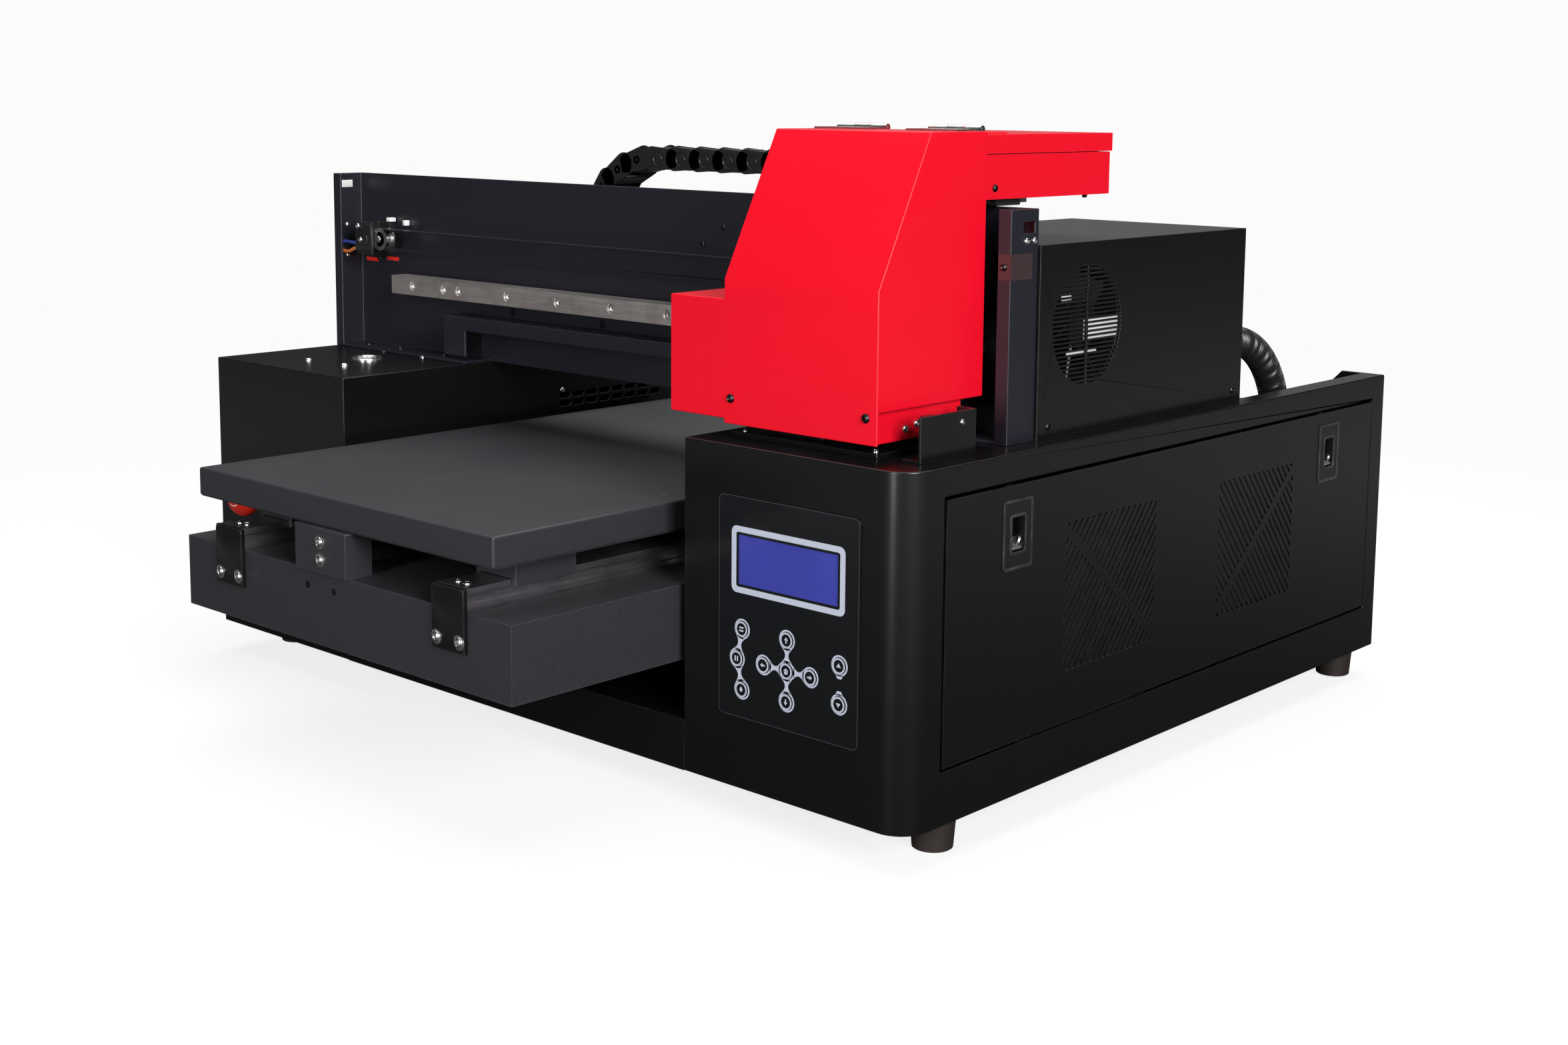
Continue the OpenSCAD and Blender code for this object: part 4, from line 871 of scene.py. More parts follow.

# %% [markdown]
# ## Side door
#
# The right side of the base is one large door. Its two latches are small black bezels with a rounded window,
# and a thumb grip shows inside each. The bezels are flat rings, so the slide behind them stays in view and
# can travel. A mat lies behind each field of vents: the pale one at the front is painted light seen through
# the slots, and the dark one at the rear is painted shade.

# %% Latch bezels and grips
bezel_w, bezel_h, bezel_t = 30 * MM, 44 * MM, 0.9 * MM
cup_w, cup_h = 14 * MM, 22 * MM
to_right = Matrix(((0, 0, 1, 0), (1, 0, 0, 0), (0, 1, 0, 0), (0, 0, 0, 1)))
for name in ("latch_front", "latch_rear"):
    slide_low, slide_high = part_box(name)
    y = (slide_low.y + slide_high.y) / 2
    z = slide_low.z - 1 * MM + cup_h / 2
    where = Matrix.Translation((right_x, y, z)) @ to_right
    mesh = bmesh.new()
    outer = outline_box(bezel_w, bezel_h, 2.2 * MM)
    window = outline_box(cup_w, cup_h, 1.6 * MM)
    rim = outline_box(bezel_w - 2.4 * MM, bezel_h - 2.4 * MM, 1.6 * MM)
    frame_plate(mesh, outer, rim, bezel_t, where)
    frame_plate(mesh, rim, window, bezel_t * 0.55, where)
    frame_plate(mesh, outline_box(cup_w + 2.4 * MM, cup_h + 2.4 * MM, 2.2 * MM), window, bezel_t * 1.2,
                where)
    bmesh.ops.remove_doubles(mesh, verts=mesh.verts, dist=1e-6)
    piece(f"{name}_bezel", mesh, bezel_black, "side_door")
    mesh = bmesh.new()
    half = [(6.0 * MM * math.cos(a), 6.0 * MM * math.sin(a))
            for a in [math.pi + math.pi * i / 14 for i in range(15)]]
    rim = [(5.0 * MM * math.cos(a), 5.0 * MM * math.sin(a))
           for a in [2 * math.pi - math.pi * i / 14 for i in range(15)]]
    centre = Matrix.Translation((right_x - 2.6 * MM, y, slide_low.z + 7.4 * MM)) @ to_right
    plate(mesh, half + rim, 1.7 * MM, centre, 0.3 * MM)
    piece(f"{name}_grip", mesh, zinc, name)
print("latches at height", round(z * 1000, 1), "mm")

# %% Filter mats behind the vents
vent_w, vent_h, vent_bottom = 107 * MM, 98 * MM, 93 * MM
door_back = right_x - 2 * MM
# The pale front mat is painted light and the dark rear mat is painted shade.
mats = (("front_filter_mat", front_y + 159 * MM, pale_mat_painted_light),
        ("rear_filter_mat", front_y + 348 * MM, dark_mat_painted_shade))
for name, y0, finish in mats:
    mesh = bmesh.new()
    shape = outline_box(vent_w + 6 * MM, vent_h + 6 * MM, 4 * MM)
    where = Matrix.Translation((door_back - 1.6 * MM, y0 + vent_w / 2,
                                vent_bottom + vent_h / 2)) @ to_right
    plate(mesh, shape, 1.2 * MM, where, 0.4 * MM)
    piece(name, mesh, finish, "side_door")

# %% [markdown]
# ## Control panel
#
# The panel is one glossy film over a steel frame: a display in a pale printed frame, and ten round keys in
# three groups joined by pale webs. The printing is real geometry here, a few hundredths of a millimetre
# proud, and the keys carry plain symbols in place of words: arrows for the ways that bed and carriage move,
# a drop, a square, a house.

# %% Display frame
panel_low, panel_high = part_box("control_panel")
lcd_low, lcd_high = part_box("lcd_module")
film_y = panel_low.y
lcd_w, lcd_h = 82 * MM, 31.5 * MM
lcd_centre = Vector(((lcd_low.x + lcd_high.x) / 2, film_y, (lcd_low.z + lcd_high.z) / 2))
to_front = Matrix(((1, 0, 0, 0), (0, 0, -1, 0), (0, 1, 0, 0), (0, 0, 0, 1)))


def on_film(x, z, proud=0.0):
    """A matrix that draws on the panel's film, with its own X to the right and Y up."""
    return Matrix.Translation((x, film_y - proud, z)) @ to_front


mesh = bmesh.new()
frame_plate(mesh, outline_box(lcd_w + 11.5 * MM, lcd_h + 11.0 * MM, 4.2 * MM),
            outline_box(lcd_w + 3.6 * MM, lcd_h + 3.4 * MM, 1.6 * MM), 0.10 * MM,
            on_film(lcd_centre.x, lcd_centre.z))
piece("display_frame", mesh, print_grey, "frame")
# A pale line round the panel's edge: a painted highlight along the film's rim.
mesh = bmesh.new()
frame_plate(mesh,
            outline_box(panel_high.x - panel_low.x - 0.6 * MM, panel_high.z - panel_low.z - 0.6 * MM,
                        3.8 * MM),
            outline_box(panel_high.x - panel_low.x - 1.5 * MM, panel_high.z - panel_low.z - 1.5 * MM,
                        3.4 * MM),
            0.04 * MM, on_film((panel_low.x + panel_high.x) / 2, (panel_low.z + panel_high.z) / 2))
film_edge = moulded("panel_edge_painted_highlight", (0.035, 0.036, 0.042), 0.3, edge_amount_worn_lit=0.0, dust=0.0)
piece("panel_film_edge", mesh, film_edge, "frame")


# %% Key symbols
def stroke(points, width):
    """The outline of a thick open line."""
    points = [Vector((*p, 0)) for p in points]
    left, right = [], []
    for i, p in enumerate(points):
        way = (points[min(i + 1, len(points) - 1)] - points[max(i - 1, 0)]).normalized()
        side = Vector((-way.y, way.x, 0)) * width / 2
        left.append((p.x + side.x, p.y + side.y))
        right.append((p.x - side.x, p.y - side.y))
    return right + left[::-1]


def arrow(turn):
    """A solid arrow that points along +X, turned by an angle."""
    shape = [(-1.9, -0.5), (0.1, -0.5), (0.1, -1.5), (2.0, 0.0), (0.1, 1.5), (0.1, 0.5), (-1.9, 0.5)]
    c, s = math.cos(turn), math.sin(turn)
    return [[(x * c - y * s, x * s + y * c) for x, y in shape]]


def ring_points(radius, start, end, count=14):
    return [(radius * math.cos(start + (end - start) * i / count),
             radius * math.sin(start + (end - start) * i / count))
            for i in range(count + 1)]


def full_ring(radius):
    return ring_points(radius, 0, 2 * math.pi * 35 / 36, 35)


drop = [[(0.0, 2.2), *ring_points(1.3, math.radians(30), math.radians(-210))]]
symbols = {
    "key_mode": [[(-1.8, 0.5), (1.8, 0.5), (1.8, 1.5), (-1.8, 1.5)],
                 [(-1.8, -1.5), (1.8, -1.5), (1.8, -0.5), (-1.8, -0.5)]],
    "key_pause": [[(-1.5, -1.7), (-0.5, -1.7), (-0.5, 1.7), (-1.5, 1.7)],
                  [(0.5, -1.7), (1.5, -1.7), (1.5, 1.7), (0.5, 1.7)]],
    "key_clean": drop,
    "key_in": arrow(math.pi / 2), "key_out": arrow(-math.pi / 2),
    "key_left": arrow(math.pi), "key_right": arrow(0.0),
    "key_home": [[(-2.1, 0.0), (2.1, 0.0), (0.0, 2.0)],
                 [(-1.4, -1.9), (1.4, -1.9), (1.4, -0.3), (-1.4, -0.3)]],
    "key_up": [[(-1.8, -0.9), (1.8, -0.9), (0.0, 1.7)]],
    "key_down": [[(-1.8, 0.9), (0.0, -1.7), (1.8, 0.9)]],
}
key_r = 5 * MM
keys = {}
for name, shapes in symbols.items():
    key_low, key_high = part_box(name)
    x, z = (key_low.x + key_high.x) / 2, (key_low.z + key_high.z) / 2
    keys[name] = Vector((x, z))
    where = Matrix.Translation((x, key_low.y, z)) @ to_front
    mesh = bmesh.new()
    frame_plate(mesh, full_ring(key_r - 0.05 * MM),
                full_ring(key_r - 1.15 * MM), 0.06 * MM, where)
    for shape in shapes:
        plate(mesh, [(px * MM, py * MM) for px, py in shape], 0.06 * MM, where)
    piece(f"{name}_print", mesh, print_grey, name, crisp=20)
print("printed", len(keys), "keys")


# %% Webs between the keys
def web(mesh, a, b, root, waist):
    """A printed web from key a to key b: wide at both keys and narrow between them."""
    span = b - a
    length = span.length
    way = span / length
    side = Vector((-way.y, way.x))
    gap = key_r + 0.75 * MM
    upper, lower = [], []
    for i in range(13):
        t = i / 12
        along = gap * 0.93 + t * (length - 1.86 * gap)
        half = waist + (root - waist) * (2 * t - 1) ** 2
        upper.append(a + way * along + side * half)
        lower.append(a + way * along - side * half)
    points = [*lower, *upper[::-1]]
    plate(mesh, [(p.x, p.y) for p in points], 0.05 * MM, on_film(0, 0))


mesh = bmesh.new()
for one, two in (("key_mode", "key_pause"), ("key_pause", "key_clean")):
    web(mesh, keys[one], keys[two], 4.0 * MM, 1.4 * MM)
for outer in ("key_in", "key_left", "key_right", "key_out"):
    web(mesh, keys["key_home"], keys[outer], 4.2 * MM, 1.3 * MM)
for spot in keys.values():
    frame_plate(mesh, full_ring(key_r + 1.5 * MM),
                full_ring(key_r + 0.35 * MM), 0.05 * MM, on_film(spot.x, spot.y))
pair = (keys["key_up"] + keys["key_down"]) / 2
for name in ("key_up", "key_down"):
    way = (pair - keys[name]).normalized()
    side = Vector((-way.y, way.x))
    points = [keys[name] + way * (key_r + 0.6 * MM) + side * 3.0 * MM,
              keys[name] + way * (key_r + 3.2 * MM) + side * 1.5 * MM,
              keys[name] + way * (key_r + 3.2 * MM) - side * 1.5 * MM,
              keys[name] + way * (key_r + 0.6 * MM) - side * 3.0 * MM]
    plate(mesh, [(p.x, p.y) for p in points], 0.05 * MM, on_film(0, 0))
piece("key_webs", mesh, print_grey, "frame")

# %% [markdown]
# ## Tower top and deck
#
# The left tower's top carries a threaded port with a bright ring, and four screws round it. Small screws
# hold the gantry's feet, the grille in the channel wall and the capping station under the carriage.

# %% Port on the tower
tower_x = low("left_tower").x
port = Vector((tower_x + 93 * MM, front_y + 80 * MM, deck_z))
mesh = bmesh.new()
lathe(mesh, [(8.2 * MM, -1.2 * MM), (8.2 * MM, 1.2 * MM), (9.0 * MM, 1.9 * MM), (11.2 * MM, 1.9 * MM),
             (12.4 * MM, 1.2 * MM), (12.6 * MM, 0.0), (12.6 * MM, -1.2 * MM)], at(port), 48)
lathe(mesh, [(0.0, 0.9 * MM), (5.4 * MM, 0.9 * MM), (6.4 * MM, 0.4 * MM), (6.4 * MM, -1.0 * MM)],
      at(port), 6)
for face in [f for f in mesh.faces if len(f.verts) == 48]:
    mesh.faces.remove(face)
piece("tower_port", mesh, zinc, "frame")
tower_places = [(tower_x + dx * MM, front_y + dy * MM) for dx,
                dy in ((68, 41), (117, 41), (65, 119), (118, 118))]
screws("tower_screws", [((x, y, deck_z), Z) for x, y in tower_places], 3.3 * MM, zinc, "frame")

# %% Screws on the gantry's feet, the channel grille and the deck
gantry_low, gantry_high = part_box("gantry_frame")
foot_top = deck_z + 2 * MM
foot_screw_x = (-334, -290, -231, 200, 330)
screws("gantry_foot_screws", [((x * MM, wall_front - 14 * MM, foot_top), Z) for x in foot_screw_x],
       2.6 * MM, dark_screw, "frame")
channel_x = high("left_tower").x
grille_y = -11.25 * MM
screws("grille_screws", [((channel_x, grille_y + k * MM, deck_z - 31.5 * MM), X) for k in (3, 134)],
       2.2 * MM, zinc, "frame")
cap_low, cap_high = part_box("capping_station")
cap_top = deck_z + 3 * MM
screws("capping_screws", [((x, y, cap_top), Z) for x in (cap_low.x + 6 * MM, cap_high.x - 6 * MM)
                          for y in (cap_low.y + 6 * MM, cap_high.y - 6 * MM)], 2.2 * MM, zinc, "frame")
print("deck screws set at", round(foot_top * 1000, 1), "mm")

# %% Stop bracket
bracket_low, bracket_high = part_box("stop_bracket")
mesh = bmesh.new()
block(mesh, (bracket_high.x - 9 * MM, bracket_low.y + 10 * MM, bracket_high.z - 3 * MM),
      (bracket_high.x - 2.2 * MM, bracket_low.y + 20 * MM, bracket_high.z - 1 * MM))
block(mesh, (bracket_high.x - 6 * MM, bracket_low.y + 8 * MM, bracket_high.z - 9 * MM),
      (bracket_high.x - 2.2 * MM, bracket_low.y + 22 * MM, bracket_high.z - 2.4 * MM))
piece("stop_sensor", mesh, black_plastic, "frame")
screws("stop_sensor_screw", [((bracket_high.x, bracket_high.y - 14 * MM, bracket_high.z - 7 * MM), X)],
       2.0 * MM, zinc, "frame")

# %% [markdown]
# ## Emergency stop
#
# A red mushroom button in a yellow collar sits low on the left tower, half hidden by the platen. Its head
# is turned with a soft dome, and three raised arrows show which way it unlocks.

# %% Stop button
stop_low, stop_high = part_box("stop_button")
stop_x, stop_z = (stop_low.x + stop_high.x) / 2, (stop_low.z + stop_high.z) / 2
stop_front = Matrix.Translation((stop_x, stop_low.y, stop_z)) @ Matrix.Rotation(math.pi / 2, 4, "X")
head = 17.4 * MM
mesh = bmesh.new()
lathe(mesh,
      [(7.8 * MM, -36 * MM), (7.8 * MM, -15.2 * MM), (head - 2.4 * MM, -15.0 * MM),
       (head - 0.4 * MM, -13.8 * MM),
             (head, -12 * MM), (head, -8.2 * MM), (head - 0.8 * MM, -6.2 * MM),
             (head - 3 * MM, -3.2 * MM),
             (head - 7 * MM, -0.9 * MM), (head - 12 * MM, -0.2 * MM), (0.0, 0.0)], stop_front, 56)
button = piece("stop_mushroom", mesh, red_plastic, "stop_button")
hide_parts("stop_button")
mesh = bmesh.new()
for i in range(3):
    turn = 2 * math.pi * i / 3
    arc = ring_points(7.6 * MM, turn, turn + 1.2, 10)
    plate(mesh, stroke(arc, 1.3 * MM), 0.5 * MM, stop_front @ Matrix.Translation((0, 0, -1.0 * MM)),
          0.1 * MM)
piece("stop_arrows", mesh, white_label, "stop_button")

# %% [markdown]
# ## Rail, belt and idler
#
# The carriage runs on a ground steel rail, held by countersunk screws at an even pitch, and is pulled by a
# toothed belt. The belt is built as one closed strip: its path is two straight runs and two half turns, and
# the inner side steps in and out for the teeth. At the left it turns round an idler in a small bracket, with
# a clip, two bits of wire and a couple of plain labels beside it.

# %% Rail screws
rail_low, rail_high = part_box("x_rail")
rail_mid = (rail_low.z + rail_high.z) / 2
rail_places = [rail_low.x + (28 + 60 * i) * MM for i in range(10)
               if rail_low.x + (28 + 60 * i) * MM < rail_high.x - 20 * MM]
rail_places.append(rail_low.x + 69 * MM)
screws("rail_screws", [((x, rail_low.y + 2.6 * MM, rail_mid), -Y) for x in rail_places], 3.6 * MM, zinc,
       "frame",
       sunk_head)
print(len(rail_places), "rail screws")


# %% Toothed belts
def belt(name, node, along, across):
    """A toothed belt in the place of a design belt whose pulleys lie along one axis."""
    b_low, b_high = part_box(node)
    centre = (b_low + b_high) / 2
    up = Vector(along).cross(Vector(across))
    size = b_high - b_low
    length, width = abs(size.dot(Vector(along))), abs(size.dot(Vector(across)))
    radius = abs(size.dot(up)) / 2
    run = length - 2 * radius
    count = int((2 * run + 2 * math.pi * radius) / (2 * MM)) * 2
    total = 2 * run + 2 * math.pi * radius
    rings = []
    for i in range(count * 2):
        s = total * i / (count * 2)
        if s < run:
            p, n = Vector((s - run / 2, radius)), Vector((0, 1))
        elif s < run + math.pi * radius:
            a = (s - run) / radius
            n = Vector((math.sin(a), math.cos(a)))
            p = Vector((run / 2, 0)) + n * radius
        elif s < 2 * run + math.pi * radius:
            p, n = Vector((run / 2 - (s - run - math.pi * radius), -radius)), Vector((0, -1))
        else:
            a = (s - 2 * run - math.pi * radius) / radius
            n = Vector((-math.sin(a), -math.cos(a)))
            p = Vector((-run / 2, 0)) + n * radius
        inner = p - n * ((1.35 if (i // 2) % 2 else 0.75) * MM)
        rings.append([centre + Vector(along) * q.x + up * q.y + Vector(across) * side * width / 2
                      for q, side in ((p, -1), (p, 1), (inner, 1), (inner, -1))])
    mesh = bmesh.new()
    verts = [[mesh.verts.new(v) for v in ring] for ring in rings]
    for one, two in zip(verts, verts[1:] + verts[:1]):
        for k in range(4):
            j = (k + 1) % 4
            mesh.faces.new((one[k], one[j], two[j], two[k]))
    made = piece(name, mesh, belt_rubber, "frame" if node == "x_belt" else "bed_lift")
    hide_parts(node)
    return total


print("carriage belt:", round(belt("carriage_belt", "x_belt", X, Y) * 1000), "mm round")
print("bed belt:", round(belt("bed_belt", "y_belt", Y, Z) * 1000), "mm round")

# %% Idler trim
idler_low, idler_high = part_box("x_idler_bracket")
pulley_low, pulley_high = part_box("x_idler_pulley")
idler_mid = (pulley_low + pulley_high) / 2
mesh = bmesh.new()
lathe(mesh,
      [(0.0, 2.4 * MM), (2.2 * MM, 2.4 * MM), (2.6 * MM, 1.8 * MM), (2.6 * MM, 0.8 * MM),
       (6.2 * MM, 0.8 * MM),
             (7.4 * MM, 0.2 * MM), (7.6 * MM, -0.6 * MM), (7.6 * MM, -4.4 * MM)],
      at((idler_high.x + 6 * MM, idler_mid.y - 3.6 * MM, idler_mid.z), -Y), 40)
lathe(mesh,
      [(9.4 * MM, 0.0), (9.4 * MM, 1.1 * MM), (7.2 * MM, 1.1 * MM), (7.2 * MM, 7.6 * MM),
       (9.4 * MM, 7.6 * MM),
             (9.4 * MM, 8.8 * MM), (0.0, 8.8 * MM)],
      at((idler_high.x + 6 * MM, idler_mid.y - 4.4 * MM, idler_mid.z), Y), 40)
piece("idler_wheel", mesh, zinc, "frame")
mesh = bmesh.new()
block(mesh, (idler_low.x - 1 * MM, idler_low.y - 1.4 * MM, idler_low.z + 3 * MM),
      (idler_high.x + 1 * MM, idler_low.y + 0.4 * MM, idler_high.z - 1 * MM), 0.5 * MM)
block(mesh, (idler_low.x + 4 * MM, idler_low.y - 3.2 * MM, idler_mid.z - 5 * MM),
      (idler_high.x - 3 * MM, idler_low.y - 1.0 * MM, idler_mid.z + 3 * MM), 0.6 * MM)
piece("idler_clip", mesh, black_plastic, "frame")
screws("idler_screws", [((idler_low.x + 9 * MM, idler_low.y - 3.2 * MM, idler_mid.z - 1 * MM), -Y),
                        ((idler_low.x + 3 * MM, idler_low.y - 1.4 * MM, idler_high.z - 3 * MM), -Y),
                        ((idler_high.x + 14 * MM, wall_front, idler_high.z - 1 * MM), -Y)],
       2.3 * MM, zinc, "frame")
mesh = bmesh.new()
block(mesh, (idler_high.x - 4 * MM, wall_front - 7 * MM, idler_high.z + 0.5 * MM),
      (idler_high.x + 2 * MM, wall_front - 1 * MM, idler_high.z + 4 * MM), 0.6 * MM)
block(mesh, (idler_high.x + 16 * MM, wall_front - 5 * MM, idler_high.z - 2 * MM),
      (idler_high.x + 20 * MM, wall_front - 0.5 * MM, idler_high.z + 2.5 * MM), 0.5 * MM)
piece("switch_tabs", mesh, white_label, "frame")
mesh = bmesh.new()
for start, end, base in ((8.5, 25.5, 75), (37.5, 53.5, 73)):
    block(mesh, (gantry_low.x + start * MM, wall_front - 0.5 * MM, gantry_high.z - base * MM),
          (gantry_low.x + end * MM, wall_front, gantry_high.z - (base - 3.2) * MM), 0.1 * MM)
piece("wall_labels", mesh, red_plastic, "frame")
mesh = bmesh.new()
flange_in = gantry_low.x + 2 * MM
block(mesh, (flange_in, gantry_low.y + 5 * MM, gantry_high.z - 12 * MM),
      (flange_in + 0.3 * MM, gantry_low.y + 18 * MM, gantry_high.z - 6 * MM), 0.05 * MM)
piece("flange_label", mesh, white_label, "frame")
screws("flange_screws",
       [((flange_in, wall_front - 15 * MM, gantry_high.z - h * MM), X) for h in (44, 70)],
       2.3 * MM, zinc, "frame")


# %% Wires at the idler
def wire(mesh, points, radius):
    sweep(mesh, smooth_path(points, 6), lambda run: radius, 10)


for name, finish, rise in (("blue_wire", blue_cable, 4), ("orange_wire", orange_cable, -4)):
    mesh = bmesh.new()
    z0 = idler_mid.z + (rise - 8) * MM
    wire(mesh,
         [(flange_in + 1.2 * MM, wall_front - 22 * MM, z0),
          (flange_in + 3 * MM, wall_front - 16 * MM, z0 - 1 * MM),
                (flange_in + 8 * MM, wall_front - 10 * MM, z0 - rise * MM / 2),
                (idler_low.x - 2 * MM, wall_front - 5 * MM, z0),
                (idler_low.x + 3 * MM, wall_front - 2.6 * MM, z0 + 1 * MM)], 1.5 * MM)
    piece(name, mesh, finish, "frame")
screws("wall_screws",
       [((x * MM, wall_front, z * MM), -Y) for x, z in ((73.5, 364.5), (52.7, 351.5), (-336, 318))],
       2.2 * MM, dark_screw, "frame")
mesh = bmesh.new()
for x, z in ((-160.5, 285.5), (-55.1, 284.7), (50.0, 285.0)):
    lathe(mesh, [(1.6 * MM, 0.0), (1.6 * MM, 0.3 * MM), (3.0 * MM, 0.3 * MM), (3.1 * MM, 0.0)],
          at((x * MM, wall_front, z * MM), -Y), 24)
piece("wall_grommets", mesh, dark_screw, "frame")

# %% [markdown]
# ## Right flange
#
# The gantry wall ends in a folded flange beside the carriage's parking place. It carries a cable window, two
# screws and a strip of brown film that wraps round its lip.

# %% Flange screws and strip
flange_x = gantry_high.x
screws("flange_outer_screws",
       [((flange_x, wall_front - d * MM, gantry_high.z - 20 * MM), X) for d in (2.6, 10.7)],
       2.3 * MM, zinc, "frame")
film = moulded("brown_clear_film", (0.040, 0.024, 0.026), 0.12, depth=0.001, edge_amount_worn_lit=0.3, dust=0.0, coat=0.5)
film_t = 0.4 * MM
lip_y = gantry_low.y
strip_low, strip_high = gantry_high.z - 43.6 * MM, gantry_high.z - 27.5 * MM
mesh = bmesh.new()
outline = [(lip_y - film_t, flange_x - 9 * MM), (lip_y, flange_x - 9 * MM), (lip_y, flange_x),
           (lip_y + 22 * MM, flange_x),
           (lip_y + 22 * MM, flange_x + film_t), (lip_y - film_t, flange_x + film_t)]
verts = [[mesh.verts.new((x, y, z)) for y, x in outline] for z in (strip_low, strip_high)]
mesh.faces.new(verts[0][::-1])
mesh.faces.new(verts[1])
for i in range(len(outline)):
    j = (i + 1) % len(outline)
    mesh.faces.new((verts[0][i], verts[0][j], verts[1][j], verts[1][i]))
piece("flange_film", mesh, film, "frame")
screws("flange_film_screw", [((flange_x - 5 * MM, lip_y - film_t, (strip_low + strip_high) / 2), -Y)],
       2.4 * MM,
       dark_screw, "frame")

# %% [markdown]
# ## Drag chain
#
# Cables reach the moving carriage through a chain of plastic links. Each link is two side plates with a
# round joint at each end, tied by bars above and below. One link is built as a function and laid along the
# chain's path. The upper run lies between the carriage and the turning loop, so it is one mesh that rides on
# neither body; the loop and the lower run ride on the loop's own body.

# %% One link
upper_low, upper_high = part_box("chain_upper")
loop_low, loop_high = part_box("chain_loop")
chain_y0, chain_y1 = loop_low.y, loop_high.y
chain_h = 18 * MM
link_side = 2.0 * MM


def side_plate(length, height):
    """A link's side, as an outline with a round end and a waisted one."""
    r = height / 2
    near = [(-length / 2 + r * math.cos(a), r * math.sin(a))
            for a in [math.pi / 2 + math.pi * i / 12 for i in range(13)]]
    far = [(length / 2 - 1 * MM, -r * 0.80), (length / 2 + 3 * MM, -r * 0.62),
           (length / 2 + 3 * MM, r * 0.62),
           (length / 2 - 1 * MM, r * 0.80)]
    return near + far


def link(mesh, where, length):
    """One link about the origin of a matrix, with its length along X and its width along Y."""
    width = chain_y1 - chain_y0
    upright = Matrix.Rotation(math.pi / 2, 4, "X")
    for side in (-1, 1):
        y = side * (width / 2 - link_side / 2) + link_side / 2
        plate(mesh, side_plate(length, chain_h), link_side * 0.8,
              where @ Matrix.Translation((0, y, 0)) @ upright, 0.25 * MM)
        face = side * width / 2
        out = where @ Matrix.Translation((-length / 2 + chain_h * 0.45, face - side * 0.5 * MM,
                                          0)) @ Matrix.Rotation(
            -side * math.pi / 2, 4, "X")
        lathe(mesh, [(6.6 * MM, 0.0), (6.6 * MM, 0.45 * MM), (5.4 * MM, 0.5 * MM), (5.2 * MM, 0.15 * MM),
                     (3.4 * MM, 0.15 * MM), (3.2 * MM, 0.5 * MM), (1.2 * MM, 0.5 * MM), (0.0, 0.2 * MM)],
                     out, 22)
    for z in (-1, 1):
        start = len(mesh.verts)
        block(mesh, (-length * 0.22, -width / 2 + link_side, z * (chain_h / 2 - 1.6 * MM) - 0.8 * MM),
              (length * 0.22, width / 2 - link_side, z * (chain_h / 2 - 1.6 * MM) + 0.8 * MM), 0.4 * MM)
        mesh.verts.ensure_lookup_table()
        bmesh.ops.transform(mesh, matrix=where, verts=mesh.verts[start:])


# %% The chain
chain_mid_y = (chain_y0 + chain_y1) / 2
chain_top = (upper_low.z + upper_high.z) / 2
bend_x = upper_low.x
bend_r = (loop_high.z - loop_low.z) / 2 - chain_h / 2
pitch = 24 * MM
count = int((upper_high.x - bend_x) / pitch)
mesh = bmesh.new()
for i in range(count):
    link(mesh,
         Matrix.Translation((bend_x + (i + 0.5) * (upper_high.x - bend_x) / count, chain_mid_y,
                             chain_top)), pitch)
block(mesh, (bend_x, chain_y0 + 8 * MM, chain_top - 4 * MM),
      (upper_high.x, chain_y1 - 8 * MM, chain_top + 1 * MM), 1 * MM)
upper = piece("chain_upper_links", mesh, black_plastic, "carriage", parent=False)
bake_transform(upper)
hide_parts("chain_upper")
mesh = bmesh.new()
turns = 10
first_turn = 0.1  # radians; keeps the first link clear of the tank box when the carriage is at the left
centre = Vector((bend_x, chain_mid_y, chain_top - bend_r))
for i in range(turns):
    a = first_turn + (math.pi - first_turn) * (i + 0.5) / turns
    turn = Matrix.Rotation(-a, 4, "Y")
    where = Matrix.Translation(centre) @ turn @ Matrix.Translation((0, 0,
        bend_r)) @ Matrix.Rotation(math.pi, 4, "Z")
    link(mesh, where, (math.pi - first_turn) * bend_r / turns)
lower_count = int((loop_high.x - bend_x) / pitch)
for i in range(lower_count):
    where = Matrix.Translation((bend_x + (i + 0.5) * pitch, chain_mid_y,
                                centre.z - bend_r)) @ Matrix.Rotation(math.pi, 4, "Y")
    link(mesh, where, pitch)
loop = piece("chain_loop_links", mesh, black_plastic, "chain_loop")
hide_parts("chain_loop")
print("chain links:", count + turns + lower_count)

# %% [markdown]
# ## Electronics box, fan and conduit
#
# Behind the gantry sits a steel box with a fan behind a round field of slots. The bright card and wires just
# inside show through the slots. At the back a ribbed conduit leaves the box and curves down into the base:
# its ribs are a tube whose radius rises and falls along its path.

# %% Things behind the grille
fan_low, fan_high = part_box("fan_frame")
fan_mid = (fan_low + fan_high) / 2
mesh = bmesh.new()
fan_face = fan_high.x
for (y0, z0), (y1, z1) in (((-1, -10), (41, 3)), ((-20, -19), (14, -16)), ((-27, 17), (-16, 20))):
    block(mesh, (fan_face - 0.9 * MM, fan_mid.y + y0 * MM, fan_mid.z + z0 * MM),
          (fan_face - 0.2 * MM, fan_mid.y + y1 * MM, fan_mid.z + z1 * MM), 0.2 * MM)
piece("wiring_card", mesh, white_label, "frame")

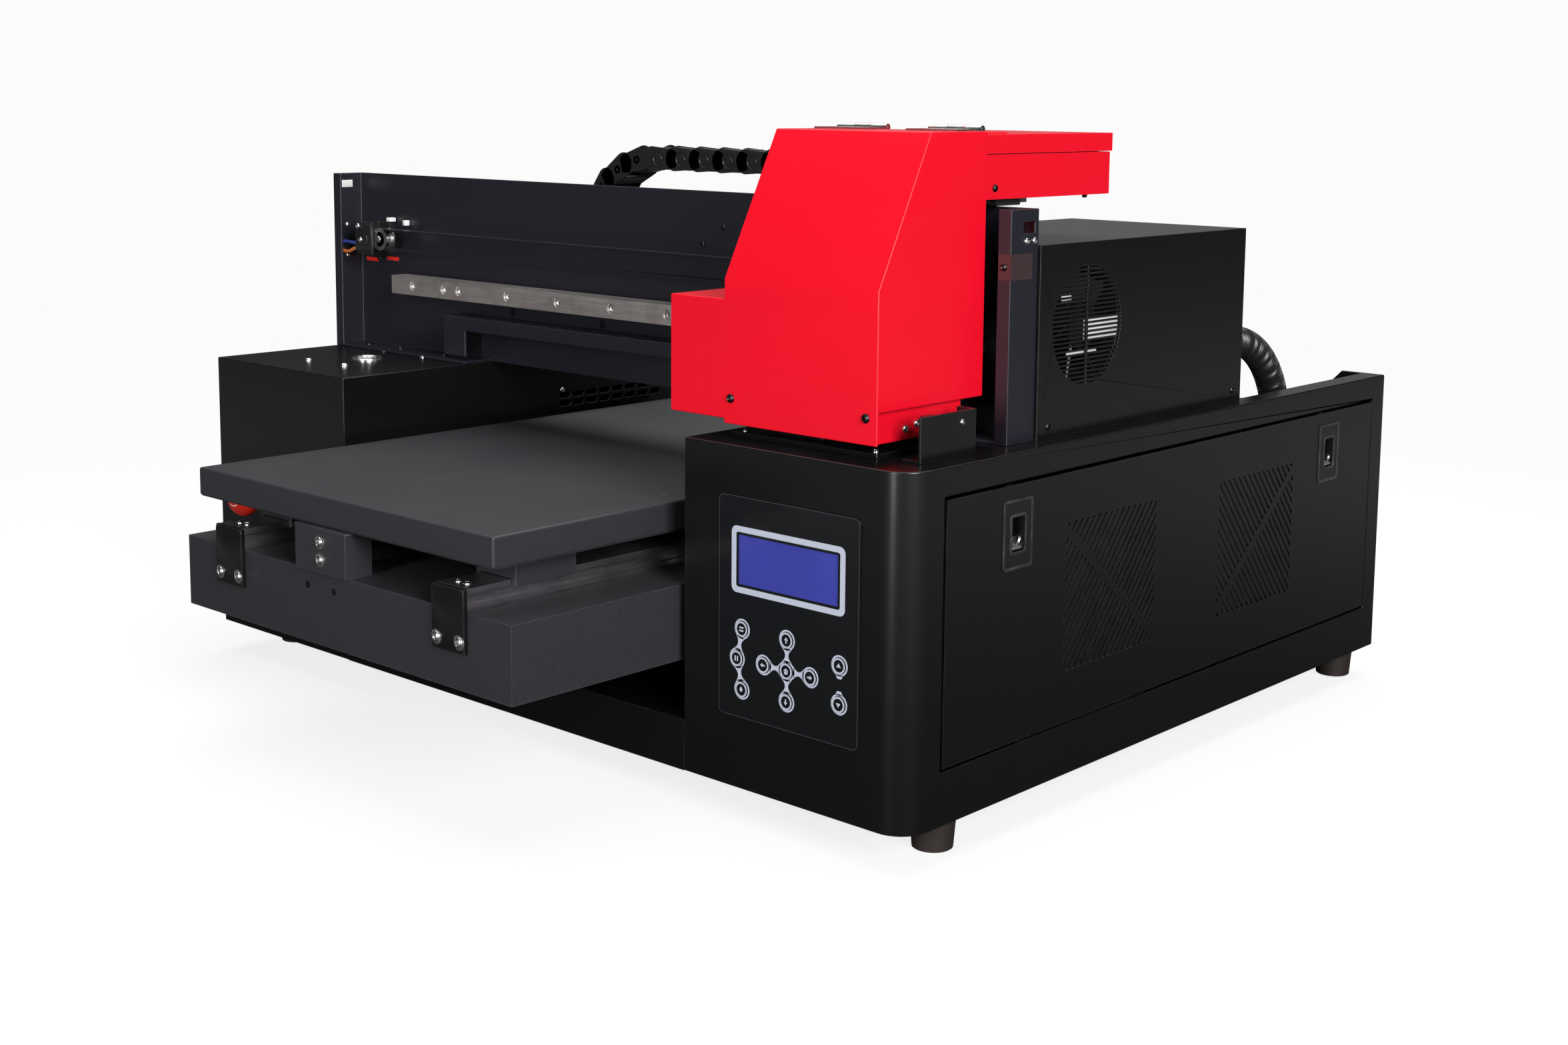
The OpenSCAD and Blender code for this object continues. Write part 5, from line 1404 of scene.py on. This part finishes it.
# %% Conduit
box_low, box_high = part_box("electronics_box")
pipe_low, pipe_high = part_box("conduit")
pipe_x = (pipe_low.x + pipe_high.x) / 2
pipe_z = deck_z + 37 * MM
pipe_bend = 75 * MM
arc_y = box_high.y + 34 * MM
route = [(pipe_x, box_high.y + k * MM, pipe_z) for k in (1, 8, 16, 24, 30)]
route += [(pipe_x, arc_y + pipe_bend * math.sin(a), pipe_z - pipe_bend + pipe_bend * math.cos(a))
          for a in [math.pi / 2 * i / 12 for i in range(13)]]
route += [(pipe_x, arc_y + pipe_bend, pipe_low.z + 0.3 * MM)]
fine = smooth_path(route, 14)
rib = 3.0 * MM
mesh = bmesh.new()
sweep(mesh, fine, lambda run: 10.2 * MM + 0.9 * MM * math.tanh(2.5 * math.sin(2 * math.pi * run / rib)),
      28)
lathe(mesh,
      [(14.5 * MM, 0.0), (14.5 * MM, 3.0 * MM), (13.4 * MM, 4.2 * MM), (12.6 * MM, 9.0 * MM),
       (11.2 * MM, 9.6 * MM)],
      at((pipe_x, box_high.y, pipe_z), Y), 6)
lathe(mesh, [(13.5 * MM, 0.0), (13.5 * MM, 3.0 * MM), (12.4 * MM, 4.4 * MM), (11.2 * MM, 4.6 * MM)],
      at((pipe_x, arc_y + pipe_bend, pipe_low.z)), 24)
conduit = piece("ribbed_conduit", mesh, black_plastic, "frame", crisp=50)
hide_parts("conduit")
print("conduit points:", len(fine))

# %% Screws on the box, the rear and the inlet
screws("box_screws",
       [((box_high.x, y, box_low.z + 8 * MM), X) for y in (box_low.y + 12 * MM, box_high.y - 12 * MM)]
       + [((x, box_high.y, z), Y) for x in (box_low.x + 10 * MM, box_high.x - 10 * MM)
          for z in (box_low.z + 12 * MM, box_high.z - 12 * MM)], 2.4 * MM, dark_screw, "frame")
inlet_low, inlet_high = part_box("power_inlet")
back_y = high("right_housing").y
screws("rear_screws", [((x * MM, back_y, z * MM), Y) for x in (-345, -207, 196, 330) for z in (38, 172)]
       + [((inlet_low.x - 3.5 * MM, back_y, (inlet_low.z + inlet_high.z) / 2), Y),
          ((inlet_high.x + 3.5 * MM, back_y, (inlet_low.z + inlet_high.z) / 2), Y)],
       2.4 * MM, dark_screw, "frame")

# %% [markdown]
# ## Carriage
#
# The red cover is folded from thin sheet with a step for the lamp on its left. Two black screws hold it at
# the front, and an inset tab with two bright screws closes its right side. Two steel hinges lie across the
# seam between the cover and the tank lid, three screws to a leaf.

# %% Cover screws
cover_low, cover_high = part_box("carriage_cover")
cover_screw_x = (204.5 * MM, 315.8 * MM)
screws("cover_screws", [((x, cover_low.y, deck_z + 25.8 * MM), -Y) for x in cover_screw_x], 3.0 * MM,
       dark_screw, "carriage")
tab_x = cover_high.x - 6 * MM + 1.5 * MM
screws("cover_tab_screws",
       [((tab_x, cover_low.y + d * MM, deck_z + h * MM), X) for d, h in ((32, 16.5), (43, 18.5))],
       2.6 * MM, zinc, "carriage")

# %% Hinges
hinge_low, hinge_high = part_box("hinge_leaves")
hinge_w = 40 * MM
leaf_t = 1.2 * MM
seam_y = hinge_high.y - 2.5 * MM
fixed_top = hinge_low.z + leaf_t
lid_leaf_top = low("tank_lid").z + 12 * MM + leaf_t
fixed, moving = [], []
for x0 in (hinge_low.x, hinge_high.x - hinge_w):
    for k in (0.17, 0.5, 0.83):
        x = x0 + k * hinge_w
        fixed.append(((x, seam_y - (10 if k == 0.5 else 16) * MM, fixed_top), Z))
        moving.append(((x, seam_y + (12 if k == 0.5 else 19) * MM, lid_leaf_top), Z))
screws("hinge_screws_fixed", fixed, 2.4 * MM, dark_screw, "carriage")
screws("hinge_screws_moving", moving, 2.4 * MM, dark_screw, "tank_lid")

# %% Leaves on the lid
mesh = bmesh.new()
for x0 in (hinge_low.x, hinge_high.x - hinge_w):
    leaf = [(x0 + 0.5 * MM, seam_y + 3.0 * MM), (x0 + hinge_w - 0.5 * MM, seam_y + 3.0 * MM),
            (x0 + hinge_w - 0.5 * MM, seam_y + 24.0 * MM), (x0 + hinge_w - 2.5 * MM, seam_y + 26.0 * MM),
            (x0 + 2.5 * MM, seam_y + 26.0 * MM), (x0 + 0.5 * MM, seam_y + 24.0 * MM)]
    plate(mesh, leaf, 0.25 * MM, Matrix.Translation((0, 0, lid_leaf_top - 0.02 * MM)), 0.1 * MM)
    lathe(mesh,
          [(2.6 * MM, 0.0), (2.6 * MM, 0.2 * MM), (2.75 * MM, 0.4 * MM), (2.75 * MM, 12.3 * MM),
           (2.6 * MM, 12.5 * MM)],
          at((x0 + hinge_w / 3 + 0.4 * MM, seam_y, hinge_high.z - 2.5 * MM), X), 28)
piece("lid_hinge_leaves", mesh, zinc, "tank_lid")

# %% Under the tank box
tank_low, tank_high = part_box("tank_box")
mesh = bmesh.new()
clamp_left, clamp_right = 296 * MM, 318 * MM
clamp_lip = 4 * MM
block(mesh, (clamp_left, wall_front - 6 * MM, tank_low.z - 4.6 * MM),
      (clamp_right, wall_front + 20 * MM, tank_low.z), 0.8 * MM)
block(mesh, (clamp_left + clamp_lip, wall_front - 9 * MM, tank_low.z - 3.4 * MM),
      (clamp_right - clamp_lip, wall_front - 6 * MM, tank_low.z - 0.8 * MM), 0.5 * MM)
piece("cable_clamp", mesh, black_plastic, "carriage")
screws("tank_box_screws", [((tank_high.x, tank_low.y + 10 * MM, tank_low.z + 7 * MM), X)], 2.4 * MM,
       dark_screw,
       "carriage")
mesh = bmesh.new()
lathe(mesh, [(1.8 * MM, 0.0), (1.8 * MM, 2.0 * MM), (1.2 * MM, 3.0 * MM), (0.0, 3.0 * MM)],
      at((tank_high.x - 14 * MM, tank_high.y - 8 * MM, tank_low.z), -Z), 20)
piece("tank_box_stud", mesh, dark_screw, "carriage")

# %% [markdown]
# ## Print head
#
# Only the head's blue underside shows below the cover, over the capping station. A nozzle plate with fine
# rows and a metal guard make it read as a print head when the bed is seen from below or the lid is open.

# %% Nozzle plate
head_low, head_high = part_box("print_head")
mesh = bmesh.new()
face_z = head_low.z
block(mesh, (head_low.x + 3 * MM, head_low.y + 4 * MM, face_z - 0.3 * MM),
      (head_high.x - 3 * MM, head_high.y - 4 * MM, face_z + 0.1 * MM), 0.1 * MM)
for i in range(8):
    x = head_low.x + (7 + 4 * i) * MM
    block(mesh, (x, head_low.y + 10 * MM, face_z - 0.5 * MM),
          (x + 1.4 * MM, head_high.y - 10 * MM, face_z - 0.25 * MM), 0.1 * MM)
piece("nozzle_plate", mesh, galvanised, "carriage")
mesh = bmesh.new()
p = (tank_high.x - tank_low.x - 12 * MM) / 6
for i in range(6):
    x = tank_low.x + (4 * MM) + (i + 0.5) * p
    lathe(mesh,
          [(7.0 * MM, 0.0), (7.0 * MM, 1.2 * MM), (6.2 * MM, 1.7 * MM), (2.0 * MM, 1.8 * MM),
           (0.0, 1.5 * MM)],
          at((x, tank_high.y - 26 * MM, high("ink_tanks").z)), 28)
piece("ink_tank_caps", mesh, black_plastic, "carriage")
print("nozzle rows: 8, ink tanks: 6")

# %% [markdown]
# ## Bed
#
# The platen slides on two aluminium profiles. Black plates stop their ends, each held by two screws, and a
# bent block in the middle holds the belt's front pulley. The plates in the design are square, so thin
# rounded facings stand on them.

# %% Bed screws
plate_low, plate_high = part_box("stop_plates")
plate_face = plate_low.y
profile_low, profile_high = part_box("bed_profiles")
platen_low, platen_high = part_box("platen")
bed_box_low, bed_box_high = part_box("bed_box")
bed_top = bed_box_high.z
profile_mid = (profile_low.x + 15 * MM, profile_high.x - 15 * MM)
places = [((x + s * 11 * MM, plate_face, bed_top - 18.6 * MM), -Y) for x in profile_mid for s in (-1, 1)]
belt_x = (low("belt_block").x + high("belt_block").x) / 2
places += [((belt_x, plate_face, bed_top + h * MM), -Y) for h in (9, 21)]
shown = screws("bed_front_screws", places, 3.6 * MM, zinc, "bed_lift")
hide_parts("bed_screws")
mesh = bmesh.new()
for point, axis in places:
    lathe(mesh, [(4.9 * MM, 0.0), (4.9 * MM, 0.45 * MM), (4.6 * MM, 0.6 * MM), (2.4 * MM, 0.6 * MM)],
          at(point, axis), 28)
piece("bed_front_washers", mesh, zinc, "bed_lift")
screws("platen_screws",
       [((x * MM, platen_low.y + 161.5 * MM, platen_high.z), Z) for x in (-157.3, 135.2)],
       2.2 * MM, zinc, "bed_slide", sunk_head)
screws("profile_screws",
       [((x + s * 4.5 * MM, profile_low.y + 9 * MM, profile_high.z), Z) for x in profile_mid
                          for s in (-1, 1)], 2.4 * MM, zinc, "bed_lift")

# %% Facings of the stop plates
mesh = bmesh.new()
for x in profile_mid:
    w, h = plate_high.z - plate_low.z, 31.0 * MM
    shape = outline_box(h, w - 0.4 * MM, 3.0 * MM)
    where = Matrix.Translation((x, plate_face, (plate_low.z + plate_high.z) / 2)) @ to_front
    plate(mesh, shape, 0.35 * MM, where, 0.2 * MM)
piece("stop_plate_facings", mesh, base_black, "bed_lift")

# %% Accessory holes and the belt block's bent sheet
mesh = bmesh.new()
for s in (-1, 1):
    lathe(mesh, [(1.75 * MM, -0.6 * MM), (1.75 * MM, 0.15 * MM), (2.3 * MM, 0.15 * MM), (2.4 * MM, 0.0)],
          at((belt_x - 4 * MM + s * 14.75 * MM, bed_box_low.y, bed_top - 11 * MM), -Y), 24)
piece("accessory_hole_rims", mesh, dark_screw, "bed_lift")
block_low, block_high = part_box("belt_block")
mesh = bmesh.new()
sheet = 1.6 * MM
block(mesh, (block_low.x - 1.0 * MM, plate_face - 0.2 * MM, block_high.z - 0.2 * MM),
      (block_high.x + 1.0 * MM, block_high.y, block_high.z + sheet - 0.2 * MM), 0.7 * MM)
piece("belt_block_cap", mesh, bed_charcoal, "bed_lift")
print("bed screws:", len(places))
